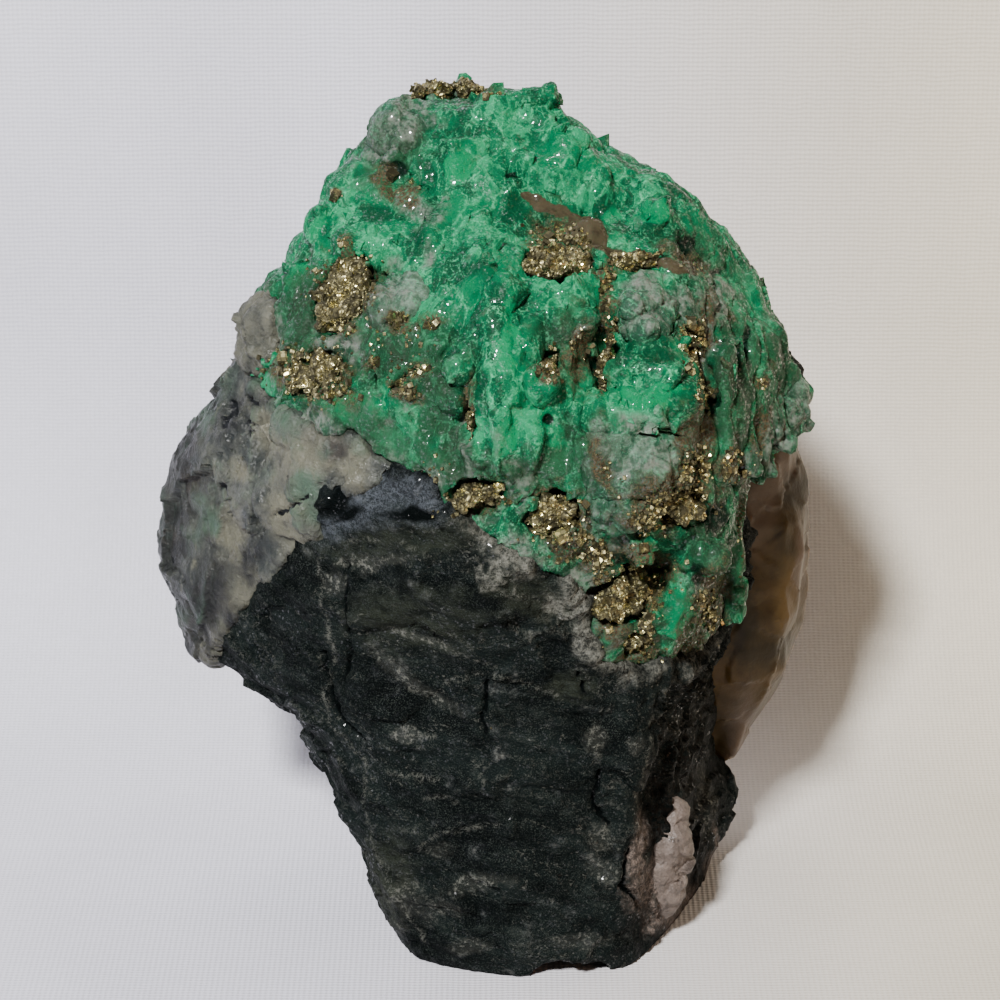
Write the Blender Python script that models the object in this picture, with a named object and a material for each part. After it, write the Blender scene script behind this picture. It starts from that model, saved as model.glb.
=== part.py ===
"""A raw emerald specimen: a crust of grown-together emerald on black shale, with calcite and pyrite.

Everything is laid out in millimetres, X to the right, Y to the back and Z up, and is turned into metres
at the end. The rock stands on a flat break at Z = 0. Each mineral is its own solid, and solids that touch
keep a small gap.
"""

import math
import random

import bmesh
import bpy
from mathutils import Matrix, Vector, noise
from mathutils.bvhtree import BVHTree

MM = 0.001
GAP = 0.32  # clearance between two minerals that touch
TOP_Z = 77.0  # highest ring of the rock, under the crystals on its crest
RING_STEPS = 35  # rings from the crest to the foot
CREST_Y = 8.5
FOOT_RISE, CREST_FALL = 5.0, 3.0  # heights over which relief fades out, so that foot and crest stay put
ROUNDNESS = 0.55  # 0 gives flat sides between the rock's long edges, 1 round ones
GRAIN, GRAIN_SIZE = 0.9, 6.5  # height and spacing of the rock's broken grain
BACK_SWELL, BACK_SWELL_SIZE = 1.6, 12.0  # broad swells of the broken back
BACK_FROM, BACK_FADE = 3.0, 8.0  # where the swells begin, and over what depth they come up to full height
CRUST_GRAIN, CRUST_GRAIN_SIZE = 1.5, 4.6  # grown-together lumps of the crust
CRUST_GRAIN_BACK, CRUST_GRAIN_MARGIN = 14.0, 1.5  # where the lumps end behind, and above the crust's lip
LUMP_MIDDLE = 0.45  # distance from a lump's middle at which it neither stands out nor falls back

# The rock's long edges, bottom to top, as (z, x, y), and how many facets lie between each and the next round.
BODY_EDGES = {
    "right": (4, [
        (0, 20, 5), (6.6, 21.7, 10), (12, 21.1, 9), (19, 20.1, 6), (25, 20.5, 4), (30, 22, 3), (34, 22.6, 2),
        (40, 22.8, 2), (44.3, 23.2, 3), (46, 27.6, 7), (48, 29.2, 8), (51.1, 28, 8), (54.1, 27.2, 7),
        (58.6, 24.8, 6), (62.4, 22.0, 6), (66.4, 19.6, 6), (70.0, 15.4, 6), (71.0, 9.6, 7), (73.8, 7.2, 8),
        (77.5, 4.2, 8)]),
    "back_right": (4, [
        (0, 16.4, 13.5), (8, 16.8, 16), (20, 16.4, 18), (32, 17, 20), (44, 19, 21), (55, 18, 20), (62, 15, 18),
        (69, 11, 15.5), (74, 6, 13), (77.5, 3, 10.5)]),
    "back": (4, [
        (0, 4, 15), (10, 3, 18.5), (22, 0, 22), (36, -2, 24), (50, -2, 24), (60, -2, 21), (68, -2, 17),
        (77.5, -2, 11)]),
    "back_left": (4, [
        (0, -8, 9), (10, -10, 12), (20, -15, 15), (25, -20, 16), (35, -23, 17), (46, -21, 16.5),
        (56, -17, 15), (64, -13, 13.5), (70, -10.5, 12), (77.5, -8, 9.5)]),
    "left": (6, [
        (0, -10.6, -3), (5.3, -12.4, -3), (11, -13.8, -3), (14.7, -15.7, -3), (17.7, -18.3, -2),
        (21.3, -19.3, -2), (23.1, -22.6, -1), (24.4, -28.5, 1), (29.5, -30.2, 2), (35, -31.8, 3),
        (38.7, -30.7, 3), (44.7, -28.8, 2), (49.8, -26.2, 1), (53.2, -23.6, 0), (57.4, -23.4, 0),
        (60.5, -21.8, 0), (62.9, -19.6, 0), (66.8, -17.4, 1), (69.5, -16.4, 2), (72.1, -13.6, 3),
        (75.4, -12.2, 4), (77.5, -9.8, 5)]),
    "front_left": (9, [
        (0, -7.6, -12), (3, -8.6, -12.4), (8, -10.5, -12.6), (17, -14, -12), (25, -16, -13.5),
        (33, -17, -13.5), (41, -17.5, -13), (48, -17, -13.5), (56, -16, -13), (62, -15, -9), (68, -13, -4),
        (73, -10.5, 0), (77.5, -8.3, 3.5)]),
    "front": (9, [
        (0, 1.6, -15.6), (8, 1, -17), (20, 0, -18), (30, 0, -19), (38, 0, -20), (45, 1, -21.5), (52, 1, -21.5),
        (58, 0, -19), (64, -1, -13.5), (70, -2, -7), (77.5, -2, 2.5)]),
    "front_right": (8, [
        (0, 12.4, -13), (8, 12.4, -14.5), (20, 12.5, -15.5), (30, 14.5, -15.5), (36, 17, -15.5),
        (45, 18.5, -16), (55, 18, -14.5), (62, 16, -10), (68, 13, -4), (71, 9, -2), (77.5, 4, 3)]),
}

# The brown calcite that stands behind the rock's right side.
BROWN_BOTTOM, BROWN_TOP, BROWN_STEPS = 8.0, 45.0, 14
BROWN_LUMPS, BROWN_LUMPS_SIZE = 1.5, 5.0
BROWN_BLOCKS, BROWN_BLOCKS_SIZE = 1.3, 6.5  # blocks that the calcite cleaves into
BROWN_EDGES = {
    "right": (3, [
        (8, 22.5, 14), (11, 23.6, 14), (14.7, 25.5, 14), (19.6, 28.3, 14), (22.8, 28.6, 14), (27, 30.2, 14),
        (32.6, 29.8, 13), (35.2, 28.8, 12), (38.6, 29.2, 12), (45, 27.5, 11)]),
    "back_right": (3, [(8, 20.5, 17), (20, 25, 20), (32, 26, 20), (45, 24, 17)]),
    "back_left": (3, [(8, 18, 16.5), (20, 16, 20), (32, 16, 20), (45, 17, 17)]),
    "front_left": (3, [(8, 18, 12), (20, 17, 7), (32, 17, 5), (45, 17, 6)]),
    "front_right": (3, [(8, 21.5, 11), (20, 26, 8), (32, 27, 7), (45, 25, 7.5)]),
}

# Relief on the front: (x, z, half width, half height, how far it stands out).
RELIEF = [
    (4.3, 62.3, 4.2, 4.2, 2.0),  # round boss high in the crust
    (13.0, 55.5, 4.3, 7.0, 2.8),  # the big block right of it
    (8.6, 58.5, 1.9, 5.0, -3.2),  # deep groove between the two
    (17.6, 55.5, 1.3, 6.0, -1.6),  # groove that holds the upright band of pyrite
    (-1.0, 60.5, 4.0, 5.5, 1.3),  # fan of columns in the middle
    (-2.6, 55.0, 1.0, 3.5, -1.4),  # upright crack
    (9.0, 65.0, 8.0, 2.4, 1.6),  # terrace across the upper crust
    (7.0, 70.0, 8.0, 1.8, -1.8),  # step behind the terrace
    (-8.8, 71.5, 2.6, 1.8, -2.0),  # dark pits near the upper left
    (2.6, 73.0, 1.6, 1.2, -1.4),
    (15.0, 68.4, 2.4, 1.8, 1.4),  # knob on the right skyline
    (14.4, 39.5, 2.0, 2.0, -3.6),  # cavity low on the right
    (12.0, 35.0, 4.5, 3.0, 1.2),
    (4.0, 44.0, 5.0, 3.0, -0.8),  # hollow under the crust's lip
    (-26.0, 45.0, 4.5, 5.0, 1.2),  # bulges and a trough of the left shoulder
    (-20.5, 49.0, 1.8, 4.0, -1.2),
    (-28.0, 33.0, 3.5, 4.0, 1.0),
    (-7.0, 40.0, 7.0, 3.5, 1.2),  # swell and scoop of the shale face
    (2.0, 27.0, 9.0, 5.0, -1.0),
    (-4.0, 14.0, 6.0, 5.0, 0.9),
]

RELIEF_SHARPNESS = 0.9  # how quickly a feature falls away towards its edge
FRONT_TURN, FRONT_SHARE = 1.6, 0.25  # how the front's relief fades where the rock turns away
FRONT_BACK = 6.0  # no front relief behind this depth

# Curved ledges where the shale broke: centre x and z, radius, drop, and the span of angles in degrees.
SHALE_LEDGES = [
    (-2.0, 62.0, 24.0, 0.9, (215, 320)),
    (-10.0, 58.0, 27.0, 0.7, (250, 330)),
    (-4.0, 66.0, 36.0, 1.0, (225, 310)),
    (8.0, 60.0, 40.0, 0.7, (235, 275)),
    (2.0, 64.0, 47.0, 0.8, (230, 300)),
]
LEDGE_SOFTNESS, LEDGE_END, LEDGE_RUN = 1.0, 15.0, 9.0  # its edge, the degrees its ends take to fade, its run
LEDGES_TOP = 44.0

# Where the crust ends on the front, as (x, z), and how deep it goes.
CRUST_OUTLINE = [
    (-40, 55.0), (-23.2, 53.8), (-21.2, 53.2), (-19.2, 52.6), (-16.7, 52.0), (-13.4, 52.9), (-11.6, 51.2),
    (-9.3, 50.5), (-5.7, 49.5), (-5.2, 47.5), (-2.6, 46.3), (0.0, 44.4), (3.0, 42.6), (6.5, 39.9), (8.5, 37.4),
    (8.3, 35.2), (9.5, 32.3), (12.4, 30.8), (15.1, 30.4), (17.5, 28.6), (20.5, 27.8), (22.0, 30.4),
    (24.5, 34.3), (24.5, 44.4), (26.5, 45.6), (40, 46.5), (40, 95), (-40, 95),
]
CRUST_DEPTH = [(30, -9.0), (38, -9.0), (46, -8.0), (55, -3.0), (65, 5.0), (71, 13.0), (76, 40.0)]
CRUST_WRAP, CRUST_WRAP_FROM = 1.15, 14.0  # extra depth for each millimetre to the right of this place

SHOULDER_OUTLINE = [
    (-40, 60.0), (-22.0, 59.0), (-9.0, 56.0), (-9.3, 50.5), (-11.6, 48.3), (-15.7, 47.0), (-15.9, 44.1),
    (-17.5, 42.0), (-19.5, 40.1), (-21.9, 36.6), (-23.1, 34.3), (-26.1, 30.5), (-27.6, 27.0), (-27.9, 20.0),
    (-40, 20.0),
]
SHOULDER_DEPTH = 9.0
FRONT_Y, SIDE_DRAFT = -40.0, 0.06  # the cells start in front of the rock and narrow a little towards its back

# Crystals that stand out of the crust: (x, z) on the front, radius, length, lean in the face and tip-out.
STANDING_CRYSTALS = [
    (15.0, 67.8, 1.5, 4.2, 20, 20), (8.6, 71.8, 1.1, 3.4, 35, 15),
    (-3.4, 63.6, 1.1, 8.0, -22, 4), (-1.8, 62.6, 1.3, 9.0, -12, 6), (0.2, 60.6, 1.35, 8.6, 0, 3),
    (2.0, 61.2, 1.1, 6.0, -32, 3), (-5.6, 62.6, 1.2, 7.0, -8, 2), (3.5, 57.8, 1.4, 3.0, 10, 72),
    (11.0, 55.4, 1.9, 6.2, 86, 6), (14.4, 56.4, 1.7, 5.0, 84, 4), (12.4, 58.6, 1.8, 5.4, 75, 10),
    (11.6, 42.3, 1.6, 3.6, 40, 45), (17.2, 40.4, 1.5, 3.4, -30, 40), (15.2, 35.6, 1.7, 5.4, -12, 12),
    (25.6, 51.0, 1.4, 3.6, -40, 20), (-8.6, 72.2, 1.1, 2.6, 40, 40), (-4.0, 72.8, 1.4, 3.4, 15, 30),
    (5.4, 73.2, 1.5, 4.0, -35, 14), (0.0, 53.6, 1.3, 6.0, 4, 6), (2.6, 52.4, 1.2, 5.4, -5, 8),
    (-2.2, 50.6, 1.2, 5.0, 12, 6), (-15.8, 66.6, 1.3, 4.0, 40, 12), (-18.2, 62.6, 1.4, 4.4, 38, 12),
    (7.4, 61.4, 1.2, 3.0, 30, 40), (-12.6, 66.2, 1.3, 5.0, 55, 8), (6.6, 51.0, 1.3, 4.6, -20, 8),
]
# Upright columns that flute the crust's right flank: (x, y, z) of the middle, radius, length, lean.
FLANK_COLUMNS = [
    (19.4, -11.5, 53.5, 1.25, 12.0, -3), (21.0, -8.0, 52.5, 1.35, 13.0, -7), (22.6, -4.6, 51.5, 1.3, 12.0, -10),
    (24.2, -1.2, 51.0, 1.4, 10.0, -12), (25.6, 2.6, 51.0, 1.3, 8.0, -15), (21.0, -7.0, 38.5, 1.0, 13.0, -3),
    (1.8, 3.4, 77.4, 1.3, 7.0, 78),
]
SCATTERED_CRYSTALS = 36
CRYSTAL_RADIUS, CRYSTAL_LENGTH = (1.1, 2.1), (2.6, 5.2)
SCATTER_X, SCATTER_Z, SCATTER_LIP = (-20, 15), (34, 75), 2.5  # where they grow, and how far above the lip
SCATTER_BACK = 12.0
SCATTER_LEAN, SCATTER_TIP = 35, (-5, 40)  # spread of their lean, and how far they tip out, in degrees
STANDING_SUNK, SCATTERED_SUNK = 0.35, 0.5  # share of a crystal's radius that its axis lies under the surface
CRYSTAL_TAPER, FACE_JITTER, END_JITTER = 0.94, 0.10, 0.06
CRYSTAL_SEED, INLAY_SEED = 11, 4

# Calcite in the crust or the shale: name, (x, z) on the front, half width, height and thickness, share sunk.
CALCITE_PODS = [
    ("calcite_left_edge", -21.6, 58.0, 2.4, 3.2, 2.4, 0.35),
    ("calcite_upper_left", -9.1, 63.9, 1.7, 2.2, 1.7, 0.62),
    ("calcite_knob", 12.9, 51.0, 4.4, 2.9, 3.2, 0.58),
    ("calcite_grey", 10.4, 47.3, 2.5, 1.9, 2.1, 0.60),
    ("calcite_upper_right", 13.3, 63.2, 2.8, 2.2, 2.1, 0.60),
    ("calcite_crest_grey", -9.4, 75.0, 2.4, 1.7, 1.9, 0.60),
    ("calcite_right_shoulder", 26.6, 48.7, 2.4, 2.0, 3.0, 0.35),
    ("calcite_foot_vein", 15.6, 8.0, 1.9, 5.0, 2.2, 0.50),
]

# Pyrite: name, (x, z) on the front, half width, half height, lean in degrees, how many cubes, share sunk.
PYRITE_CLUSTERS = [
    ("pyrite_ledge", 5.0, 67.2, 3.0, 2.1, -12, 6, 0.58),
    ("pyrite_terrace", 11.4, 67.0, 3.1, 1.1, -28, 4, 0.58),
    ("pyrite_upper_left", -13.6, 63.2, 2.7, 3.2, 10, 6, 0.58),
    ("pyrite_left", -16.2, 57.0, 3.1, 2.0, -20, 6, 0.58),
    ("pyrite_middle_left", -8.0, 57.4, 1.7, 1.1, -35, 4, 0.58),
    ("pyrite_boss", 4.3, 59.8, 1.2, 0.9, -25, 3, 0.58),
    ("pyrite_groove", 9.0, 58.6, 1.1, 3.0, 8, 4, 0.58),
    ("pyrite_band", 17.0, 57.6, 1.5, 3.8, 4, 6, 0.58),
    ("pyrite_band_low", 15.6, 47.0, 2.9, 1.6, 36, 5, 0.58),
    ("pyrite_seam_left", -1.9, 48.6, 2.2, 1.1, -12, 4, 0.58),
    ("pyrite_seam", 4.6, 46.6, 2.3, 1.9, -20, 5, 0.58),
    ("pyrite_low", 10.6, 38.0, 2.8, 2.1, -10, 6, 0.58),
    ("pyrite_foot_of_crust", 11.9, 33.3, 1.1, 1.5, 0, 3, 0.58),
    ("pyrite_flank", 20.6, 47.6, 1.1, 1.7, 12, 3, 0.58),
    ("pyrite_crack", -2.7, 55.0, 0.9, 1.9, 0, 3, 0.58),
    ("pyrite_crest_left", -6.4, 79.2, 1.9, 1.9, 0, 4, 0.05),
    ("pyrite_crest_right", -3.0, 79.2, 1.5, 1.6, 0, 3, 0.05),
]
PYRITE_DEPTH = 1.6  # half the thickness of a cluster's root
PYRITE_ROOT = 0.92  # the root's share of the cluster's half width and height
CUBE_SIDE, CUBE_FORWARD = (0.60, 0.95), 0.30  # a cube's side, and its share of the root's depth forward
POD_FACETS_JITTER = 0.16
POCKET_FLATTEN = 6.0  # facets of a pocket that meet at less than this angle become one
HOST_TRIANGLES = (4500, 500, 1950)  # most triangles of the crust, the shoulder and the shale
INLAY_TRIANGLES = 96

NOTCH = (6.6, -16.5, 4.6, 2.8, 9.0)  # chip under the foot: x, y of its mouth, half width, height, depth

COLOURS = {  # base colour, roughness, metallic
    "shale": ((0.030, 0.034, 0.036), 0.55, 0.0),
    "calcite": ((0.52, 0.52, 0.48), 0.45, 0.0),
    "brown_calcite": ((0.16, 0.11, 0.055), 0.40, 0.0),
    "emerald": ((0.05, 0.36, 0.17), 0.30, 0.0),
    "pyrite": ((0.46, 0.36, 0.18), 0.32, 1.0),
}


def new_object(name, bm, material="shale"):
    """A linked object from a finished bmesh, with faces pointing out."""
    bmesh.ops.recalc_face_normals(bm, faces=bm.faces)
    mesh = bpy.data.meshes.new(name)
    bm.to_mesh(mesh)
    bm.free()
    obj = bpy.data.objects.new(name, mesh)
    bpy.context.scene.collection.objects.link(obj)
    mesh.materials.append(bpy.data.materials[material])
    return obj


def copy_of(obj, name):
    """A separate object with its own copy of the mesh."""
    twin = bpy.data.objects.new(name, obj.data.copy())
    bpy.context.scene.collection.objects.link(twin)
    return twin


def remove(obj):
    """Deletes a helper."""
    bpy.data.objects.remove(obj)


def apply_modifiers(obj):
    """Puts what an object's modifiers make of its mesh in place of the mesh."""
    bpy.context.view_layer.update()
    graph = bpy.context.evaluated_depsgraph_get()
    mesh = bpy.data.meshes.new_from_object(obj.evaluated_get(graph))
    obj.modifiers.clear()
    obj.data = mesh
    split_into_triangles(obj)


def apply_boolean(obj, operation, others):
    """Joins the other objects to obj, cuts them from it or keeps what they have in common, in one step."""
    together = bpy.data.collections.new("together")
    bpy.context.scene.collection.children.link(together)
    for other in others:
        together.objects.link(other)
    modifier = obj.modifiers.new("boolean", "BOOLEAN")
    modifier.operation = operation
    modifier.solver = "EXACT"
    modifier.operand_type = "COLLECTION"
    modifier.collection = together
    apply_modifiers(obj)
    bpy.data.collections.remove(together)


def thin_out(obj, triangles):
    """Merges the slivers that Booleans leave, down to about this many triangles."""
    count = len(obj.data.polygons)
    if count <= triangles:
        return
    modifier = obj.modifiers.new("thin", "DECIMATE")
    modifier.ratio = triangles / count
    apply_modifiers(obj)


def largest_body(obj):
    """Drops the crumbs that a Boolean may leave beside the main body."""
    bm = bmesh.new()
    bm.from_mesh(obj.data)
    left, bodies = set(bm.verts), []
    while left:
        body, front = set(), [left.pop()]
        while front:
            v = front.pop()
            body.add(v)
            for edge in v.link_edges:
                other = edge.other_vert(v)
                if other in left:
                    left.remove(other)
                    front.append(other)
        bodies.append(body)
    bodies.sort(key=len)
    for body in bodies[:-1]:
        bmesh.ops.delete(bm, geom=list(body), context="VERTS")
    bm.to_mesh(obj.data)
    bm.free()


def split_into_triangles(obj):
    """Flat facets only, so that the next Boolean meets no bent polygon."""
    bm = bmesh.new()
    bm.from_mesh(obj.data)
    bmesh.ops.triangulate(bm, faces=bm.faces)
    bm.to_mesh(obj.data)
    bm.free()


def grown(obj, by, name="grown"):
    """A copy of obj whose faces stand out by a distance."""
    twin = copy_of(obj, name)
    bm = bmesh.new()
    bm.from_mesh(twin.data)
    bm.normal_update()
    moves = [(v, v.normal * by * min(v.calc_shell_factor(), 2.0)) for v in bm.verts]
    for v, move in moves:
        v.co += move
    bm.to_mesh(twin.data)
    bm.free()
    return twin


def along(points, z):
    """Values at height z on a line through (z, values...) points."""
    if z <= points[0][0]:
        return points[0][1:]
    for low, high in zip(points, points[1:]):
        if z <= high[0]:
            share = (z - low[0]) / (high[0] - low[0])
            return tuple(a + (b - a) * share for a, b in zip(low[1:], high[1:]))
    return points[-1][1:]


def ring_points(edges, z):
    """One horizontal ring of the rock: the long edges at height z, with facets between them."""
    corners = [Vector(along(points, z)) for _, points in edges.values()]
    facets = [count for count, _ in edges.values()]
    ring = []
    for i, count in enumerate(facets):
        before, a, b, after = (corners[(i + k) % len(corners)] for k in (-1, 0, 1, 2))
        for step in range(count):
            t = step / count
            straight = a.lerp(b, t)
            tangent_a, tangent_b = (b - before) / 2, (after - a) / 2
            curve = ((2 * t**3 - 3 * t**2 + 1) * a + (t**3 - 2 * t**2 + t) * tangent_a
                     + (3 * t**2 - 2 * t**3) * b + (t**3 - t**2) * tangent_b)
            ring.append(straight.lerp(curve, ROUNDNESS))
    return ring


def lofted_rock(name, edges, bottom, top, steps, material):
    """A sphere's rings moved onto the rock's rings, poles at the middle of the lowest and highest ring."""
    around = sum(count for count, _ in edges.values())
    bm = bmesh.new()
    bmesh.ops.create_uvsphere(bm, u_segments=around, v_segments=steps, radius=1.0)
    rings = {}
    for v in bm.verts:
        level = round(math.acos(max(-1.0, min(1.0, v.co.z))) / math.pi * steps)
        share = (min(max(level, 1), steps - 1) - 1) / (steps - 2)
        z = top + (bottom - top) * share
        if level not in rings:
            rings[level] = ring_points(edges, z)
        ring = rings[level]
        if level in (0, steps):
            middle = sum(ring, Vector((0, 0))) / len(ring)
            v.co = (middle.x, middle.y, z)
        else:
            place = ring[round(math.atan2(v.co.y, v.co.x) / (2 * math.pi) * around) % around]
            v.co = (place.x, place.y, z)
    bmesh.ops.recalc_face_normals(bm, faces=bm.faces)
    return new_object(name, bm, material)


def bump(x, z, feature):
    """How far one (x, z, half width, half height, height) feature stands out at a point."""
    cx, cz, half_x, half_z, height = feature
    reach = ((x - cx) / half_x) ** 2 + ((z - cz) / half_z) ** 2
    return height * math.exp(-reach * RELIEF_SHARPNESS)


def ledge(x, z, feature):
    """How far a curved break steps back at a point, fading out at the ends of its arc."""
    cx, cz, radius, drop, (start, end) = feature
    angle = math.degrees(math.atan2(z - cz, x - cx)) % 360
    fade = max(0.0, min(1.0, (angle - start) / LEDGE_END, (end - angle) / LEDGE_END))
    distance = math.hypot(x - cx, z - cz) - radius
    return -drop * fade / (1 + math.exp(-distance / LEDGE_SOFTNESS)) * math.exp(-max(distance, 0) / LEDGE_RUN)


def add_relief(obj):
    """Bosses, grooves, ledges and broken grain on the rock's skin. The foot's flat break is left alone."""
    bm = bmesh.new()
    bm.from_mesh(obj.data)
    bm.normal_update()
    moved = []
    for v in bm.verts:
        x, y, z = v.co
        facing = max(0.0, min(1.0, -v.normal.y * FRONT_TURN + FRONT_SHARE)) if y < FRONT_BACK else 0.0
        height = sum(bump(x, z, feature) for feature in RELIEF)
        height += sum(ledge(x, z, feature) for feature in SHALE_LEDGES if z < LEDGES_TOP)
        height *= facing
        height += GRAIN * noise.noise(v.co / GRAIN_SIZE)
        behind = max(0.0, min(1.0, (y - BACK_FROM) / BACK_FADE))
        height += BACK_SWELL * noise.noise(v.co / BACK_SWELL_SIZE) * behind
        if inside(CRUST_OUTLINE, x, z - CRUST_GRAIN_MARGIN) and y < CRUST_GRAIN_BACK:
            nearest_lump = noise.voronoi(v.co / CRUST_GRAIN_SIZE)[0][0]
            height += CRUST_GRAIN * (LUMP_MIDDLE - nearest_lump)
        fade = max(0.0, min(1.0, z / FOOT_RISE, (TOP_Z + CREST_FALL / 2 - z) / CREST_FALL))
        moved.append((v, v.normal * height * fade))
    for v, move in moved:
        v.co += move
    bmesh.ops.triangulate(bm, faces=bm.faces)
    bm.to_mesh(obj.data)
    bm.free()


def add_blocks(obj):
    """Lumps and cleaved blocks all over the brown calcite."""
    bm = bmesh.new()
    bm.from_mesh(obj.data)
    bm.normal_update()
    moves = []
    for v in bm.verts:
        nearest_block = noise.voronoi(v.co / BROWN_BLOCKS_SIZE)[0][0]
        lump = BROWN_LUMPS * noise.noise(v.co / BROWN_LUMPS_SIZE)
        moves.append((v, v.normal * (lump + BROWN_BLOCKS * (LUMP_MIDDLE - nearest_block))))
    for v, move in moves:
        v.co += move
    bmesh.ops.triangulate(bm, faces=bm.faces)
    bm.to_mesh(obj.data)
    bm.free()


def cell(name, outline, depth_at):
    """A closed block with an (x, z) outline, from in front of the rock to the depth given for each corner."""
    bm = bmesh.new()
    face = bm.faces.new([bm.verts.new((x, FRONT_Y, z)) for x, z in outline])
    back = bmesh.ops.extrude_face_region(bm, geom=[face])["geom"]
    for v in [g for g in back if isinstance(g, bmesh.types.BMVert)]:
        v.co.y = depth_at(v.co.x, v.co.z)
        v.co.x *= 1 - SIDE_DRAFT
    bmesh.ops.triangulate(bm, faces=bm.faces)
    return new_object(name, bm)


def crust_depth(x, z):
    """How far back the crust reaches: deeper near the crest and where it turns the right corner."""
    return along(CRUST_DEPTH, z)[0] + CRUST_WRAP * max(0.0, min(x, 30.0) - CRUST_WRAP_FROM)


def surface_at(tree, x, z):
    """Where a line from the front meets the rock, or else the rock's nearest point, and which way it faces."""
    place, normal, _, _ = tree.ray_cast(Vector((x, FRONT_Y, z)), Vector((0, 1, 0)))
    if place is None:
        place, normal, _, _ = tree.find_nearest(Vector((x, CREST_Y, z)))
    return place, normal


def tree_of(obj):
    """A search tree for ray casts on an object's mesh."""
    bm = bmesh.new()
    bm.from_mesh(obj.data)
    tree = BVHTree.FromBMesh(bm)
    bm.free()
    return tree


def prism(name, middle, axis, radius, length, rng):
    """One six-sided emerald with a flat end, its side faces a little unequal."""
    bm = bmesh.new()
    bmesh.ops.create_cone(bm, cap_ends=True, segments=6, radius1=radius, radius2=radius * CRYSTAL_TAPER,
                          depth=length)
    for v in bm.verts:
        v.co.x *= 1 + rng.uniform(-FACE_JITTER, FACE_JITTER)
        v.co.z += rng.uniform(-END_JITTER, END_JITTER) * length
    bmesh.ops.triangulate(bm, faces=[f for f in bm.faces if len(f.verts) == 4])
    turn = axis.to_track_quat("Z", "Y").to_matrix() @ Matrix.Rotation(rng.uniform(0, math.pi / 3), 3, "Z")
    bmesh.ops.transform(bm, matrix=Matrix.Translation(middle) @ turn.to_4x4(), verts=bm.verts)
    return new_object(name, bm, "emerald")


def face_axis(normal, lean, tip_out):
    """A direction in the rock's face, this many degrees right of upright and this many out of the face."""
    normal = normal.normalized()
    upright = (Vector((0, 0, 1)) - normal * normal.z).normalized()
    right = upright.cross(normal) * -1
    in_face = upright * math.cos(math.radians(lean)) + right * math.sin(math.radians(lean))
    return (in_face * math.cos(math.radians(tip_out)) + normal * math.sin(math.radians(tip_out))).normalized()


def inside(outline, x, z):
    """Whether a point lies within a closed (x, z) outline."""
    found = False
    for (x0, z0), (x1, z1) in zip(outline, outline[1:] + outline[:1]):
        if (z0 > z) != (z1 > z) and x < x0 + (x1 - x0) * (z - z0) / (z1 - z0):
            found = not found
    return found


def emerald_crystals(rock):
    """Prisms half sunk in the crust: the large ones by hand, then smaller ones wherever there is crust."""
    rng = random.Random(CRYSTAL_SEED)
    tree = tree_of(rock)
    crystals = []
    for x, z, radius, length, lean, tip_out in STANDING_CRYSTALS:
        place, normal = surface_at(tree, x, z)
        axis = face_axis(normal, lean, tip_out)
        forward = axis * length / 2 * math.sin(math.radians(tip_out))
        middle = place - normal * radius * STANDING_SUNK + forward
        crystals.append(prism("crystal", middle, axis, radius, length, rng))
    for x, y, z, radius, length, lean in FLANK_COLUMNS:
        axis = Vector((math.sin(math.radians(lean)), 0.1, math.cos(math.radians(lean)))).normalized()
        crystals.append(prism("column", Vector((x, y, z)), axis, radius, length, rng))
    while len(crystals) < len(STANDING_CRYSTALS) + len(FLANK_COLUMNS) + SCATTERED_CRYSTALS:
        x, z = rng.uniform(*SCATTER_X), rng.uniform(*SCATTER_Z)
        place, normal = surface_at(tree, x, z)
        if place.y > SCATTER_BACK or not inside(CRUST_OUTLINE, x, z - SCATTER_LIP):
            continue
        radius, length = rng.uniform(*CRYSTAL_RADIUS), rng.uniform(*CRYSTAL_LENGTH)
        axis = face_axis(normal, rng.gauss(0, SCATTER_LEAN), rng.uniform(*SCATTER_TIP))
        crystals.append(prism("crystal", place - normal * radius * SCATTERED_SUNK, axis, radius, length, rng))
    return crystals


def calcite_pod(name, tree, x, z, half_x, half_z, half_y, sunk, rng):
    """A rounded lump of calcite, partly sunk where the front of the rock is."""
    place, normal = surface_at(tree, x, z)
    bm = bmesh.new()
    bmesh.ops.create_icosphere(bm, subdivisions=2, radius=1.0)
    for v in bm.verts:
        v.co *= 1 + rng.uniform(-POD_FACETS_JITTER, POD_FACETS_JITTER)
        v.co = Vector((v.co.x * half_x, v.co.y * half_y, v.co.z * half_z))
    turn = (-normal).to_track_quat("Y", "Z").to_matrix().to_4x4()
    bmesh.ops.transform(bm, matrix=Matrix.Translation(place - normal * half_y * sunk) @ turn, verts=bm.verts)
    return new_object(name, bm, "calcite")


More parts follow.
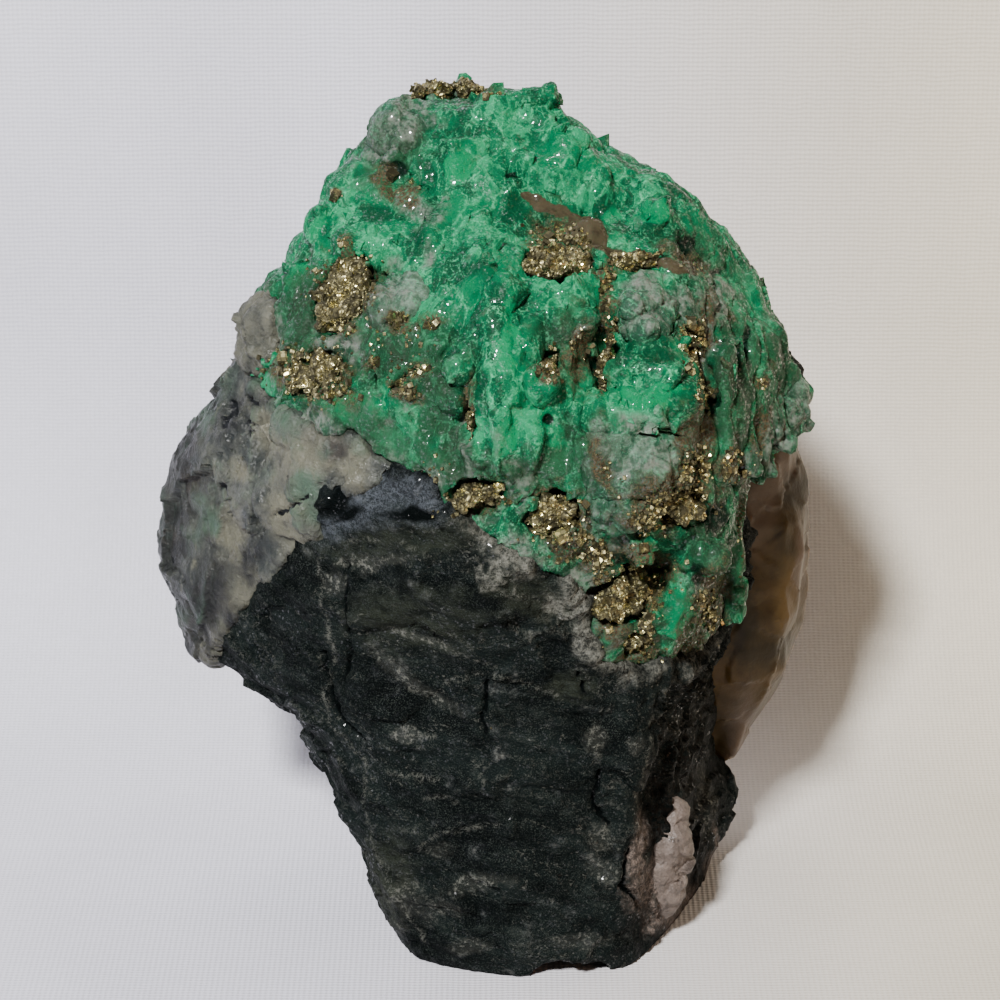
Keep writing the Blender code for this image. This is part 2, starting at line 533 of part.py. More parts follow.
def pyrite_cluster(name, tree, x, z, half_x, half_z, lean, cubes, sunk, rng):
    """Intergrown cubes on a common root that is set in the rock."""
    place, normal = surface_at(tree, x, z)
    turn = (-normal).to_track_quat("Y", "Z").to_matrix().to_4x4() @ Matrix.Rotation(math.radians(lean), 4, "Y")
    frame = Matrix.Translation(place - normal * PYRITE_DEPTH * sunk) @ turn
    bm = bmesh.new()
    bmesh.ops.create_icosphere(bm, subdivisions=1, radius=1.0)
    root = Matrix.Diagonal((half_x * PYRITE_ROOT, PYRITE_DEPTH, half_z * PYRITE_ROOT, 1))
    bmesh.ops.transform(bm, matrix=frame @ root, verts=bm.verts)
    cluster = new_object(name, bm, "pyrite")
    grown_in = []
    for i in range(cubes):
        angle = 2 * math.pi * (i + rng.uniform(0, 0.5)) / cubes
        side = rng.uniform(*CUBE_SIDE) * min(half_x, half_z)
        bm = bmesh.new()
        bmesh.ops.create_cube(bm, size=side)
        spin = Vector((rng.random(), rng.random(), rng.random() + 0.1))
        tumble = Matrix.Rotation(rng.uniform(0, math.pi), 4, spin)
        reach_x, reach_z = half_x - side / 2, half_z - side / 2
        spot = Vector((math.cos(angle) * reach_x, -PYRITE_DEPTH * CUBE_FORWARD, math.sin(angle) * reach_z))
        bmesh.ops.transform(bm, matrix=frame @ Matrix.Translation(spot) @ tumble, verts=bm.verts)
        grown_in.append(new_object("cube", bm, "pyrite"))
    apply_boolean(cluster, "UNION", grown_in)
    for cube in grown_in:
        remove(cube)
    return cluster


def pocket_for(obj):
    """A smooth hollow that clears a solid all round: its convex hull, grown by the gap."""
    bm = bmesh.new()
    bm.from_mesh(obj.data)
    hull = bmesh.ops.convex_hull(bm, input=bm.verts)
    loose = [*hull["geom_interior"], *hull["geom_unused"]]
    extra = {g for g in loose if isinstance(g, bmesh.types.BMVert)}
    bmesh.ops.delete(bm, geom=list(extra), context="VERTS")
    kept = {g for g in hull["geom"] if isinstance(g, bmesh.types.BMFace)}
    bmesh.ops.delete(bm, geom=[f for f in bm.faces if f not in kept], context="FACES_ONLY")
    bmesh.ops.delete(bm, geom=[e for e in bm.edges if not e.link_faces], context="EDGES")
    bmesh.ops.dissolve_limit(bm, angle_limit=math.radians(POCKET_FLATTEN), verts=bm.verts, edges=bm.edges)
    bmesh.ops.triangulate(bm, faces=bm.faces)
    hull_object = new_object("pocket_hull", bm)
    pocket = grown(hull_object, GAP, "pocket")
    remove(hull_object)
    return pocket


def box_of(obj):
    """The lowest and highest corner of an object's vertices."""
    points = [v.co for v in obj.data.vertices]
    return [min(p[i] for p in points) for i in range(3)], [max(p[i] for p in points) for i in range(3)]


def near(one, other):
    """Whether two objects' boxes meet."""
    (low_a, high_a), (low_b, high_b) = box_of(one), box_of(other)
    return all(low_a[i] < high_b[i] and low_b[i] < high_a[i] for i in range(3))


def chipped_foot(rock):
    """Cuts the small arched chip under the front of the foot."""
    x, y, half_width, height, depth = NOTCH
    bm = bmesh.new()
    bmesh.ops.create_cone(bm, cap_ends=True, segments=10, radius1=1.0, radius2=0.55, depth=depth)
    shape = Matrix.Translation((x, y + depth / 2 - 2.0, 0)) @ Matrix.Rotation(math.radians(-90), 4, "X")
    bmesh.ops.transform(bm, matrix=Matrix.Diagonal((half_width, height, 1, 1)), verts=bm.verts)
    bmesh.ops.transform(bm, matrix=shape, verts=bm.verts)
    cutter = new_object("notch", bm)
    apply_boolean(rock, "DIFFERENCE", [cutter])
    remove(cutter)


def make_materials():
    """One plain Principled material for each mineral."""
    for name, (colour, roughness, metallic) in COLOURS.items():
        material = bpy.data.materials.new(name)
        material.use_nodes = True
        shader = material.node_tree.nodes["Principled BSDF"]
        shader.inputs["Base Color"].default_value = (*colour, 1)
        shader.inputs["Roughness"].default_value = roughness
        shader.inputs["Metallic"].default_value = metallic


def dress(obj, material):
    """Gives an object one material and flat facets."""
    obj.data.materials.clear()
    obj.data.materials.append(bpy.data.materials[material])
    for polygon in obj.data.polygons:
        polygon.material_index = 0


def settle(objects):
    """Millimetres to metres, with the origin under the middle of the whole specimen."""
    corners = [v.co for obj in objects for v in obj.data.vertices]
    low = Vector(min(c[i] for c in corners) for i in range(3))
    high = Vector(max(c[i] for c in corners) for i in range(3))
    shift = Vector(((low.x + high.x) / 2, (low.y + high.y) / 2, low.z))
    for obj in objects:
        obj.data.transform(Matrix.Scale(MM, 4) @ Matrix.Translation(-shift))


def main():
    """Builds the rock, parts it into its minerals and seats the calcite and the pyrite."""
    for obj in list(bpy.data.objects):
        bpy.data.objects.remove(obj)
    make_materials()
    rng = random.Random(INLAY_SEED)

    rock = lofted_rock("rock", BODY_EDGES, 0.0, TOP_Z, RING_STEPS, "shale")
    add_relief(rock)
    chipped_foot(rock)
    brown = lofted_rock("brown_calcite", BROWN_EDGES, BROWN_BOTTOM, BROWN_TOP, BROWN_STEPS, "brown_calcite")
    add_blocks(brown)
    brown_pocket = grown(brown, GAP)
    crust_cell = cell("crust_cell", CRUST_OUTLINE, crust_depth)
    shoulder_cell = cell("shoulder_cell", SHOULDER_OUTLINE, lambda x, z: SHOULDER_DEPTH)
    crust_room, shoulder_room = grown(crust_cell, GAP), grown(shoulder_cell, GAP)

    crust = copy_of(rock, "emerald_crust")
    crystals = emerald_crystals(rock)
    apply_boolean(crust, "UNION", crystals)
    apply_boolean(crust, "INTERSECT", [crust_cell])
    apply_boolean(crust, "DIFFERENCE", [brown_pocket])
    shoulder = copy_of(rock, "calcite_shoulder")
    apply_boolean(shoulder, "INTERSECT", [shoulder_cell])
    apply_boolean(shoulder, "DIFFERENCE", [crust_room])
    shale = copy_of(rock, "shale_matrix")
    apply_boolean(shale, "DIFFERENCE", [crust_room, shoulder_room, brown_pocket])

    tree = tree_of(rock)
    inlays = [calcite_pod(name, tree, *numbers, rng) for name, *numbers in CALCITE_PODS]
    inlays += [pyrite_cluster(name, tree, *numbers, rng) for name, *numbers in PYRITE_CLUSTERS]
    hosts = [crust, shoulder, shale]
    pockets = [pocket_for(inlay) for inlay in inlays]
    for i, pocket in enumerate(pockets):
        for other in inlays[:i]:
            if near(other, pocket):
                apply_boolean(other, "DIFFERENCE", [pocket])
    for host in hosts:
        apply_boolean(host, "DIFFERENCE", [pocket for pocket in pockets if near(host, pocket)])
    for pocket in pockets:
        remove(pocket)

    for host, triangles in zip(hosts, HOST_TRIANGLES):
        largest_body(host)
        thin_out(host, triangles)
    for inlay in inlays:
        thin_out(inlay, INLAY_TRIANGLES)

    for helper in [rock, brown_pocket, crust_cell, shoulder_cell, crust_room, shoulder_room, *crystals]:
        remove(helper)
    dress(crust, "emerald")
    dress(shoulder, "calcite")
    dress(shale, "shale")
    settle([*hosts, brown, *inlays])


if __name__ == "__main__":
    main()
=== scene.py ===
"""Looks of a raw emerald specimen: emerald crust on black shale, with calcite, brown calcite and pyrite.

Work on shapes is done in millimetres, in the frame's own axes, and each finished mesh is turned into metres.
Places on the front are given as picture places: pixels of a 1000 x 1000 view through the scene's own camera.
"""

from __future__ import annotations

import itertools
import logging
import math
import random
from collections.abc import Callable
from dataclasses import dataclass, field
from enum import Enum

import bmesh
import bpy
import numpy as np
from mathutils import Euler, Matrix, Vector
from mathutils.bvhtree import BVHTree

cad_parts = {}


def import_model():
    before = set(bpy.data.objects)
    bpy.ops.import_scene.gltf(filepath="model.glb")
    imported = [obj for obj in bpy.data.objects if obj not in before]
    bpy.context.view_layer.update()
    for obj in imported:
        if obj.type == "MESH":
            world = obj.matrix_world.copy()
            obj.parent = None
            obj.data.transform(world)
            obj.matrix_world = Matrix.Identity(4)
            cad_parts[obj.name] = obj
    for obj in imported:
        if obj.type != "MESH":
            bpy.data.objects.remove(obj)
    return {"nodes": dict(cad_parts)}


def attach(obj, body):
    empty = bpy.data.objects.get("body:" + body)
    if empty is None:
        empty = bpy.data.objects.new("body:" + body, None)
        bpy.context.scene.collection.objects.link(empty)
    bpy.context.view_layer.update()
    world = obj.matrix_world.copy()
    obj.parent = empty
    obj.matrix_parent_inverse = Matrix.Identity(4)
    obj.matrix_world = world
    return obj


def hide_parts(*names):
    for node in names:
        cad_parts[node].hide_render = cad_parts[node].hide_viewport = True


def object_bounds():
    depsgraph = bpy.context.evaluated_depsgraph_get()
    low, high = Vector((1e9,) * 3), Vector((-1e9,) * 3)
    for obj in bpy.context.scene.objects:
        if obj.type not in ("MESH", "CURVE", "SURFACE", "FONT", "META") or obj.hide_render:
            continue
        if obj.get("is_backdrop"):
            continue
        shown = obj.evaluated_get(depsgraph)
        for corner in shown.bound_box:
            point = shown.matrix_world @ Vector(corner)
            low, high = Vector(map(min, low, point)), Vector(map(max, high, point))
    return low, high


log = logging.getLogger("emerald")

Array = np.ndarray
Colour = tuple[float, float, float]
Place = tuple[float, float, float]
Spot = tuple[float, float, float, float, float]  # picture x, y, half width, half height, turn in degrees
Stroke = tuple[float, list[tuple[float, float]]]  # half width in pixels, and the points it runs through

Socket = bpy.types.NodeSocket
ShaderNode = bpy.types.Node
Material = bpy.types.Material
Mesh = bpy.types.Mesh
Piece = bpy.types.Object

MM = 0.001
HALF: Place = (0.5, 0.5, 0.5)
PICTURE = 1000.0


# ---------------------------------------------------------------- repeatable noise


def hashed(cell: Array, seed: int) -> Array:
    """Gives each whole-number cell its own random number.

    Args:
        cell: whole numbers, with X, Y and Z on the last axis.
        seed: which of many unlike patterns to give.

    Returns:
        Numbers from 0 to 1.
    """
    c = cell.astype(np.int64)
    mixed = c[..., 0] * 73856093 ^ c[..., 1] * 19349663 ^ c[..., 2] * 83492791 ^ (seed * 40503)
    for factor, shift in ((0x2C1B3C6D, 15), (0x297A2D39, 12)):
        mixed = ((mixed ^ (mixed >> shift)) & 0xFFFFFFFF) * factor & 0xFFFFFFFF
    return ((mixed ^ (mixed >> 15)) & 0xFFFFFFFF) / 2**32


def waves(points: Array, seed: int, octaves: int = 1) -> Array:
    """Smooth noise, about -1 to 1, with a feature size of one unit of the points."""
    total, weight = np.zeros(len(points)), 1.0
    for octave in range(octaves):
        p = points * 2.0**octave + 17.3 * octave
        base = np.floor(p)
        t = p - base
        t = t * t * (3 - 2 * t)
        for corner in itertools.product((0, 1), repeat=3):
            share = np.prod(np.where(np.array(corner) == 1, t, 1 - t), axis=1)
            total += weight * share * (hashed(base + corner, seed + octave) * 2 - 1)
        weight *= 0.5
    return total


@dataclass
class Grains:
    """Points sorted into irregular grains, as crystals that grew against each other.

    Attributes:
        centre: the middle of each point's grain.
        chance: one random number for each point's grain.
        edge: how far each point is from its grain's border, 0 on the border.
        chances: three more random numbers for the grain, from -1 to 1.
    """

    centre: Array
    chance: Array
    edge: Array
    chances: Array

    @classmethod
    def at(cls, points: Array, seed: int) -> Grains:
        """Sorts points into grains of about one unit."""
        base = np.floor(points)
        nearest = np.full(len(points), 9.0)
        second = nearest.copy()
        centre = np.zeros_like(points)
        owner = np.zeros_like(points)
        for step in itertools.product((-1, 0, 1), repeat=3):
            cell = base + step
            middle = cell + np.stack([hashed(cell, seed + k) for k in range(3)], axis=1)
            distance = np.linalg.norm(points - middle, axis=1)
            closer = distance < nearest
            second = np.where(closer, nearest, np.minimum(second, distance))
            nearest = np.where(closer, distance, nearest)
            centre[closer], owner[closer] = middle[closer], cell[closer]
        chances = np.stack([hashed(owner, seed + 20 + k) * 2 - 1 for k in range(3)], axis=1)
        return cls(centre, hashed(owner, seed + 9), second - nearest, chances)

    def facets(self, points: Array, tilt: float, step: float) -> Array:
        """Height of one flat, tilted facet for each grain.

        Args:
            points: the points that were sorted.
            tilt: slope of the facets.
            step: how much the grains' own heights differ.
        """
        direction = self.chances / (np.linalg.norm(self.chances, axis=1, keepdims=True) + 1e-6)
        slope = np.einsum("ij,ij->i", points - self.centre, direction)
        return slope * tilt + (self.chance - 0.5) * step


# ---------------------------------------------------------------- camera and picture places


@dataclass(frozen=True)
class Eye:
    """The camera, looking down on the specimen from in front.

    Attributes:
        aim: the point in the middle of the picture, in millimetres.
        distance: from the camera to that point.
        tilt: how far the camera looks down, in degrees.
        reach: half the picture's width at that distance.
    """

    aim: Place = (1.04, -6.87, 43.05)
    distance: float = 320.0
    tilt: float = 20.0
    reach: float = 45.0
    sensor: float = 36.0

    @property
    def ahead(self) -> Array:
        """The direction that the camera looks in."""
        return np.array((0, math.cos(math.radians(self.tilt)), -math.sin(math.radians(self.tilt))))

    @property
    def up(self) -> Array:
        """The picture's upward direction."""
        return np.array((0, math.sin(math.radians(self.tilt)), math.cos(math.radians(self.tilt))))

    @property
    def place(self) -> Array:
        """Where the camera stands."""
        return np.array(self.aim) - self.ahead * self.distance

    def picture(self, points: Array) -> Array:
        """Picture x and y of points in millimetres."""
        seen = points - self.place
        depth = seen @ self.ahead
        scale = PICTURE / 2 * self.distance / self.reach / depth
        return np.stack([PICTURE / 2 + seen[:, 0] * scale, PICTURE / 2 - (seen @ self.up) * scale], axis=1)

    def ray(self, x: float, y: float) -> Vector:
        """The direction of the line of sight through a picture place."""
        right = (x - PICTURE / 2) * self.reach / self.distance / (PICTURE / 2)
        rise = (PICTURE / 2 - y) * self.reach / self.distance / (PICTURE / 2)
        return Vector(self.ahead + self.up * rise + np.array((right, 0, 0))).normalized()

    def build(self) -> None:
        """Makes the scene's camera."""
        data = bpy.data.cameras.new("camera")
        data.sensor_width = self.sensor
        data.lens = self.sensor / 2 * self.distance / self.reach
        data.clip_start, data.clip_end = 0.01, 20.0
        camera = bpy.data.objects.new("camera", data)
        camera.location = Vector(self.place) * MM
        camera.rotation_euler = (math.radians(90 - self.tilt), 0, 0)
        bpy.context.scene.collection.objects.link(camera)
        bpy.context.scene.camera = camera


EYE = Eye()


@dataclass
class Skin:
    """The points of a mesh, seen from the front: what paint and relief are worked out from.

    Attributes:
        points: places in millimetres.
        normals: outward directions.
        rag: how far, in pixels, the outlines of painted patches wander.
    """

    points: Array
    normals: Array
    rag: float = 7.0
    pixels: Array = field(init=False)
    facing: Array = field(init=False)

    def __post_init__(self) -> None:
        """Finds each point's picture place, and whether the camera sees that side."""
        wander = np.stack([waves(self.points / 2.2, seed, 2) for seed in (301, 302)], axis=1)
        self.pixels = EYE.picture(self.points) + wander * self.rag
        towards = EYE.place - self.points
        towards /= np.linalg.norm(towards, axis=1, keepdims=True)
        turned = np.einsum("ij,ij->i", towards, self.normals)
        self.facing = np.clip(turned * 3 + 0.9, 0, 1) * np.clip((16 - self.points[:, 1]) / 5, 0, 1)

    def spots(self, spots: list[Spot], softness: float = 0.8) -> Array:
        """How strongly each point is covered by any of these patches.

        Args:
            spots: patches in picture places.
            softness: share of a patch's radius over which it fades out.

        Returns:
            Numbers from 0 to 1.
        """
        cover = np.zeros(len(self.points))
        for x, y, half_width, half_height, turn in spots:
            dx, dy = self.pixels[:, 0] - x, self.pixels[:, 1] - y
            c, s = math.cos(math.radians(turn)), math.sin(math.radians(turn))
            radius = np.hypot((dx * c + dy * s) / half_width, (dy * c - dx * s) / half_height)
            cover = np.maximum(cover, np.clip((1 + softness - radius) / (2 * softness), 0, 1))
        return cover * self.facing

    def strokes(self, strokes: list[Stroke]) -> Array:
        """How strongly each point is covered by any of these drawn lines, from 0 to 1."""
        cover = np.zeros(len(self.points))
        for half_width, line in strokes:
            for start, end in zip(line, line[1:]):
                a, b = np.array(start), np.array(end)
                along = np.clip(((self.pixels - a) @ (b - a)) / ((b - a) @ (b - a)), 0, 1)
                distance = np.linalg.norm(self.pixels - a - along[:, None] * (b - a), axis=1)
                cover = np.maximum(cover, np.clip(1.5 - distance / half_width, 0, 1))
        return cover * self.facing


# ---------------------------------------------------------------- meshes


def new_piece(name: str, mesh: Mesh) -> Piece:
    """Links a new object that holds a mesh."""
    piece = bpy.data.objects.new(name, mesh)
    bpy.context.scene.collection.objects.link(piece)
    return piece


def merged_copy(node: Piece) -> Mesh:
    """A closed copy of a CAD node's loose triangles, in millimetres."""
    bm = bmesh.new()
    bm.from_mesh(node.data)
    bmesh.ops.scale(bm, vec=(1 / MM,) * 3, verts=bm.verts)
    bmesh.ops.remove_doubles(bm, verts=bm.verts, dist=0.002)
    mesh = bpy.data.meshes.new("copy")
    bm.to_mesh(mesh)
    bm.free()
    return mesh


def remeshed(mesh: Mesh, voxel: float, rounding: int = 0) -> Mesh:
    """An even, dense mesh of the same form.

    Args:
        mesh: a closed mesh, in millimetres.
        voxel: spacing of the new mesh's points.
        rounding: how many times its corners are softened.
    """
    helper = new_piece("helper", mesh)
    modifier = helper.modifiers.new("remesh", "REMESH")
    modifier.mode = "VOXEL"
    modifier.voxel_size = voxel
    if rounding:
        helper.modifiers.new("round", "SMOOTH").iterations = rounding
    bpy.context.view_layer.update()
    graph = bpy.context.evaluated_depsgraph_get()
    dense = bpy.data.meshes.new_from_object(helper.evaluated_get(graph))
    bpy.data.objects.remove(helper)
    return dense


def points_of(mesh: Mesh) -> tuple[Array, Array]:
    """The places and the normals of a mesh's points."""
    places, normals = (np.empty(len(mesh.vertices) * 3) for _ in range(2))
    mesh.vertices.foreach_get("co", places)
    mesh.vertices.foreach_get("normal", normals)
    return places.reshape(-1, 3), normals.reshape(-1, 3)


def set_points(mesh: Mesh, places: Array) -> None:
    """Moves a mesh's points."""
    mesh.vertices.foreach_set("co", places.ravel())
    mesh.update()


def paint(mesh: Mesh, layers: dict[str, Array]) -> None:
    """Stores numbers on a mesh's points, by name, for its material to read."""
    for name, values in layers.items():
        layer = mesh.attributes.new(name, "FLOAT", "POINT")
        layer.data.foreach_set("value", values.astype(np.float32))


@dataclass
class Joined:
    """Many small shapes gathered into one mesh, each with numbers of its own for the material."""

    layers: tuple[str, ...]
    bm: bmesh.types.BMesh = field(default_factory=bmesh.new)
    counts: list[int] = field(default_factory=list)
    values: list[tuple[float, ...]] = field(default_factory=list)

    def add(self, shape: Mesh, matrix: Matrix, values: tuple[float, ...]) -> None:
        """Adds a placed copy of a shape.

        Args:
            shape: the mesh to copy.
            matrix: where it goes.
            values: one number for each layer.
        """
        placed = shape.copy()
        placed.transform(matrix)
        self.bm.from_mesh(placed)
        self.counts.append(len(placed.vertices))
        self.values.append(values)
        bpy.data.meshes.remove(placed)

    def mesh(self, name: str) -> Mesh:
        """The finished mesh, with its layers painted."""
        mesh = bpy.data.meshes.new(name)
        self.bm.to_mesh(mesh)
        self.bm.free()
        table = np.repeat(np.array(self.values), self.counts, axis=0)
        paint(mesh, {layer: table[:, i] for i, layer in enumerate(self.layers)})
        return mesh


# ---------------------------------------------------------------- materials


class Tree:
    """Short ways to add and join the nodes of one material or group."""

    def __init__(self, tree: bpy.types.NodeTree) -> None:
        """Keeps the tree that is being built."""
        self.tree = tree

    def add(self, kind: str, inputs: dict[str | int, object] | None = None, **settings: object) -> ShaderNode:
        """Adds a node.

        Args:
            kind: the node's type, without the ShaderNode prefix.
            inputs: what each named or numbered input is fed with: a value or another node's socket.
            settings: the node's own properties.

        Returns:
            The node.
        """
        node = self.tree.nodes.new("ShaderNode" + kind)
        for name, value in settings.items():
            setattr(node, name, value)
        for name, value in (inputs or {}).items():
            self.feed(node.inputs[name], value)
        return node

    def feed(self, socket: Socket, value: object) -> None:
        """Joins a socket to another, or sets its value."""
        if isinstance(value, Socket):
            self.tree.links.new(value, socket)
        elif isinstance(value, tuple) and len(value) == 3 and socket.type == "RGBA":
            socket.default_value = (*value, 1.0)
        else:
            socket.default_value = value

    def math(self, operation: str, a: object, b: object = 0.0) -> Socket:
        """The result of one sum on two values."""
        return self.add("Math", {0: a, 1: b}, operation=operation).outputs[0]

    def times(self, a: object, b: object) -> Socket:
        """The product of two values."""
        return self.math("MULTIPLY", a, b)

    def plus(self, a: object, b: object) -> Socket:
        """The sum of two values."""
        return self.math("ADD", a, b)

    def most(self, a: object, b: object) -> Socket:
        """The larger of two values."""
        return self.math("MAXIMUM", a, b)

    def blend(self, *parts: tuple[object, float]) -> Socket:
        """The sum of values, each times its weight."""
        total = self.times(*parts[0])
        for value, weight in parts[1:]:
            total = self.plus(total, self.times(value, weight))
        return total

    def mix(self, share: object, a: object, b: object) -> Socket:
        """A colour between a and b."""
        return self.add("Mix", {0: share, 6: a, 7: b}, data_type="RGBA").outputs[2]

    def lerp(self, share: object, a: object, b: object) -> Socket:
        """A number between a and b."""
        return self.add("Mix", {0: share, 2: a, 3: b}, data_type="FLOAT").outputs[0]

    def span(self, value: object, low: object, high: object, to_low: float = 0.0,
             to_high: float = 1.0) -> Socket:
        """A value moved from one range to another, and kept inside it."""
        inputs = {0: value, 1: low, 2: high, 3: to_low, 4: to_high}
        return self.add("MapRange", inputs, interpolation_type="SMOOTHSTEP").outputs[0]

    def vector(self, operation: str, a: object, b: object) -> ShaderNode:
        """One sum on two vectors."""
        return self.add("VectorMath", {0: a, 1: b}, operation=operation)

    def scaled(self, vector: object, factor: object) -> Socket:
        """A vector or a colour, times a number."""
        return self.add("VectorMath", {0: vector, "Scale": factor}, operation="SCALE").outputs[0]

    def slope(self, place: object, middle: object, chances: object) -> Socket:
        """The height of a flat face for each cell, tilted by the cell's own three chances from 0 to 1."""
        offset = self.vector("SUBTRACT", place, middle).outputs[0]
        turn = self.vector("SUBTRACT", chances, HALF).outputs[0]
        return self.vector("DOT_PRODUCT", offset, turn).outputs["Value"]

    def layer(self, name: str) -> Socket:
        """The painted numbers of this name."""
        return self.add("Attribute", attribute_name=name).outputs["Fac"]

    def place(self, stretch: Place = (1, 1, 1), turn: float = 0.0) -> Socket:
        """Object coordinates, shrunk along an axis whose stretch is larger, and turned in radians about Y."""
        coordinates = self.add("TexCoord").outputs["Object"]
        if stretch == (1, 1, 1):
            return coordinates
        inputs = {"Vector": coordinates, "Rotation": (0, turn, 0), "Scale": stretch}
        return self.add("Mapping", inputs, vector_type="TEXTURE").outputs[0]

    def noise(self, size_mm: float, detail: float = 3.0, roughness: float = 0.6,
              stretch: Place = (1, 1, 1), turn: float = 0.0) -> Socket:
        """Soft noise with features of about this size, longer along an axis whose stretch is larger."""
        inputs = {"Scale": 1 / (size_mm * MM), "Detail": detail, "Roughness": roughness,
                  "Vector": self.place(stretch, turn)}
        return self.add("TexNoise", inputs).outputs[0]

    def grown(self, stretch: Place, size_mm: float, shift_mm: float) -> Socket:
        """Object coordinates pushed about by noise of this size, which gives cells curved borders."""
        upright = self.place(stretch)
        inputs = {"Vector": upright, "Scale": 1 / (size_mm * MM), "Detail": 1.0}
        push = self.add("TexNoise", inputs).outputs["Color"]
        push = self.scaled(self.vector("SUBTRACT", push, HALF).outputs[0], shift_mm * MM)
        return self.vector("ADD", upright, push).outputs[0]

    def group(self, tree: bpy.types.NodeTree, inputs: dict[str, object]) -> bpy.types.NodeOutputs:
        """Adds a node group with its own values, and gives its outputs."""
        node = self.tree.nodes.new("ShaderNodeGroup")
        node.node_tree = tree
        for name, value in inputs.items():
            self.feed(node.inputs[name], value)
        return node.outputs


class Groups:
    """The node groups that several minerals share, each built once."""

    def __init__(self) -> None:
        """Builds the groups."""
        self.patch = self._ragged_patch()
        self.sugar = self._sugar()
        self.sparkles = self._sparkles()
        self.cells = self._cells()
        self.veins = self._veins()

    @staticmethod
    def _new(name: str, inputs: dict[str, float], outputs: tuple[str, ...],
             vectors: tuple[str, ...] = ()) -> tuple[Tree, bpy.types.NodeOutputs, bpy.types.NodeInputs]:
        """An empty group.

        Args:
            name: the group's name.
            inputs: its numbers, with their usual values.
            outputs: what it gives.
            vectors: its vectors.

        Returns:
            The tree to build in, what the group is given, and where its results go.
        """
        tree = bpy.data.node_groups.new(name, "ShaderNodeTree")
        for socket in vectors:
            tree.interface.new_socket(socket, in_out="INPUT", socket_type="NodeSocketVector")
        for socket, value in inputs.items():
            made = tree.interface.new_socket(socket, in_out="INPUT", socket_type="NodeSocketFloat")
            made.default_value = value
        for socket in outputs:
            tree.interface.new_socket(socket, in_out="OUTPUT", socket_type="NodeSocketFloat")
        given = tree.nodes.new("NodeGroupInput").outputs
        return Tree(tree), given, tree.nodes.new("NodeGroupOutput").inputs

    def _ragged_patch(self) -> bpy.types.NodeTree:
        """A painted cover whose edge is broken up by a noise: Cover, Noise, Rag and Softness give Mask."""
        inputs = {"Cover": 0.0, "Noise": 0.5, "Rag": 0.9, "Softness": 0.12}
        t, given, result = self._new("ragged patch", inputs, ("Mask",))
        rag = t.times(t.math("SUBTRACT", given["Noise"], 0.5), given["Rag"])
        cover = t.plus(given["Cover"], rag)
        low, high = t.math("SUBTRACT", 0.5, given["Softness"]), t.plus(0.5, given["Softness"])
        t.feed(result["Mask"], t.span(cover, low, high))
        return t.tree

    def _cells(self) -> bpy.types.NodeTree:
        """Crystals grown against each other.

        Place is where they are laid, Scale how small they are, Line how wide their outlines are, and Loose
        where the outlines are wider. Facet is the height of a flat face on each, Tone a chance for each,
        Border how far a place is from the crystal's border, and Net the outlines.
        """
        inputs = {"Loose": 0.5, "Scale": 800.0, "Line": 0.06}
        outputs = ("Facet", "Tone", "Border", "Net")
        t, given, result = self._new("crystal cells", inputs, outputs, ("Place",))
        laid = {"Vector": given["Place"], "Scale": given["Scale"]}
        cell = t.add("TexVoronoi", laid).outputs
        border = t.add("TexVoronoi", laid, feature="DISTANCE_TO_EDGE").outputs["Distance"]
        slope = t.slope(given["Place"], cell["Position"], cell["Color"])
        t.feed(result["Facet"], t.times(slope, given["Scale"]))
        t.feed(result["Tone"], t.add("SeparateColor", {0: cell["Color"]}).outputs[0])
        t.feed(result["Border"], border)
        wide = t.times(given["Line"], t.span(given["Loose"], 0.40, 0.62, 0.15, 2.4))
        t.feed(result["Net"], t.span(border, wide, 0.0))
        return t.tree

    def _sugar(self) -> bpy.types.NodeTree:
        """Fine broken grain: Scale gives Height, and Glint, which is 1 on some of the grains."""
        t, given, result = self._new("sugar", {"Scale": 2200.0}, ("Height", "Glint"))
        coarse = t.add("TexVoronoi", {"Vector": t.place(), "Scale": given["Scale"]}).outputs
        fine = t.add("TexVoronoi", {"Vector": t.place(), "Scale": t.times(given["Scale"], 2.7)}).outputs
        t.feed(result["Height"], t.plus(coarse["Distance"], t.times(fine["Distance"], 0.45)))
        chance = t.add("SeparateColor", {0: coarse["Color"]}).outputs[0]
        t.feed(result["Glint"], t.span(chance, 0.80, 0.86))
        return t.tree

    def _sparkles(self) -> bpy.types.NodeTree:
        """Tiny flat grains: Size gives Facet, the height of each one's face, and Tone, a chance for each."""
        t, given, result = self._new("sparkles", {"Size": 0.17 * MM}, ("Facet", "Tone"))
        place = t.place()
        corner = t.vector("SNAP", place, given["Size"]).outputs[0]
        grain = t.add("TexWhiteNoise", {"Vector": corner}).outputs
        t.feed(result["Facet"], t.math("DIVIDE", t.slope(place, corner, grain["Color"]), given["Size"]))
        t.feed(result["Tone"], grain["Value"])
        return t.tree

    def _veins(self) -> bpy.types.NodeTree:
        """Thin wandering lines: Scale and Width give Mask."""
        t, given, result = self._new("veins", {"Scale": 120.0, "Width": 0.015}, ("Mask",))
        inputs = {"Vector": t.place((2.2, 1, 0.9)), "Scale": given["Scale"], "Detail": 3.0, "Roughness": 0.50}
        away = t.math("ABSOLUTE", t.math("SUBTRACT", t.add("TexNoise", inputs).outputs[0], 0.5))
        line = t.span(away, given["Width"], 0.0)
        breaks = t.times(t.span(t.noise(4.0, 2.0), 0.50, 0.66), t.span(t.noise(0.5), 0.35, 0.65))
        t.feed(result["Mask"], t.times(line, breaks))
        return t.tree


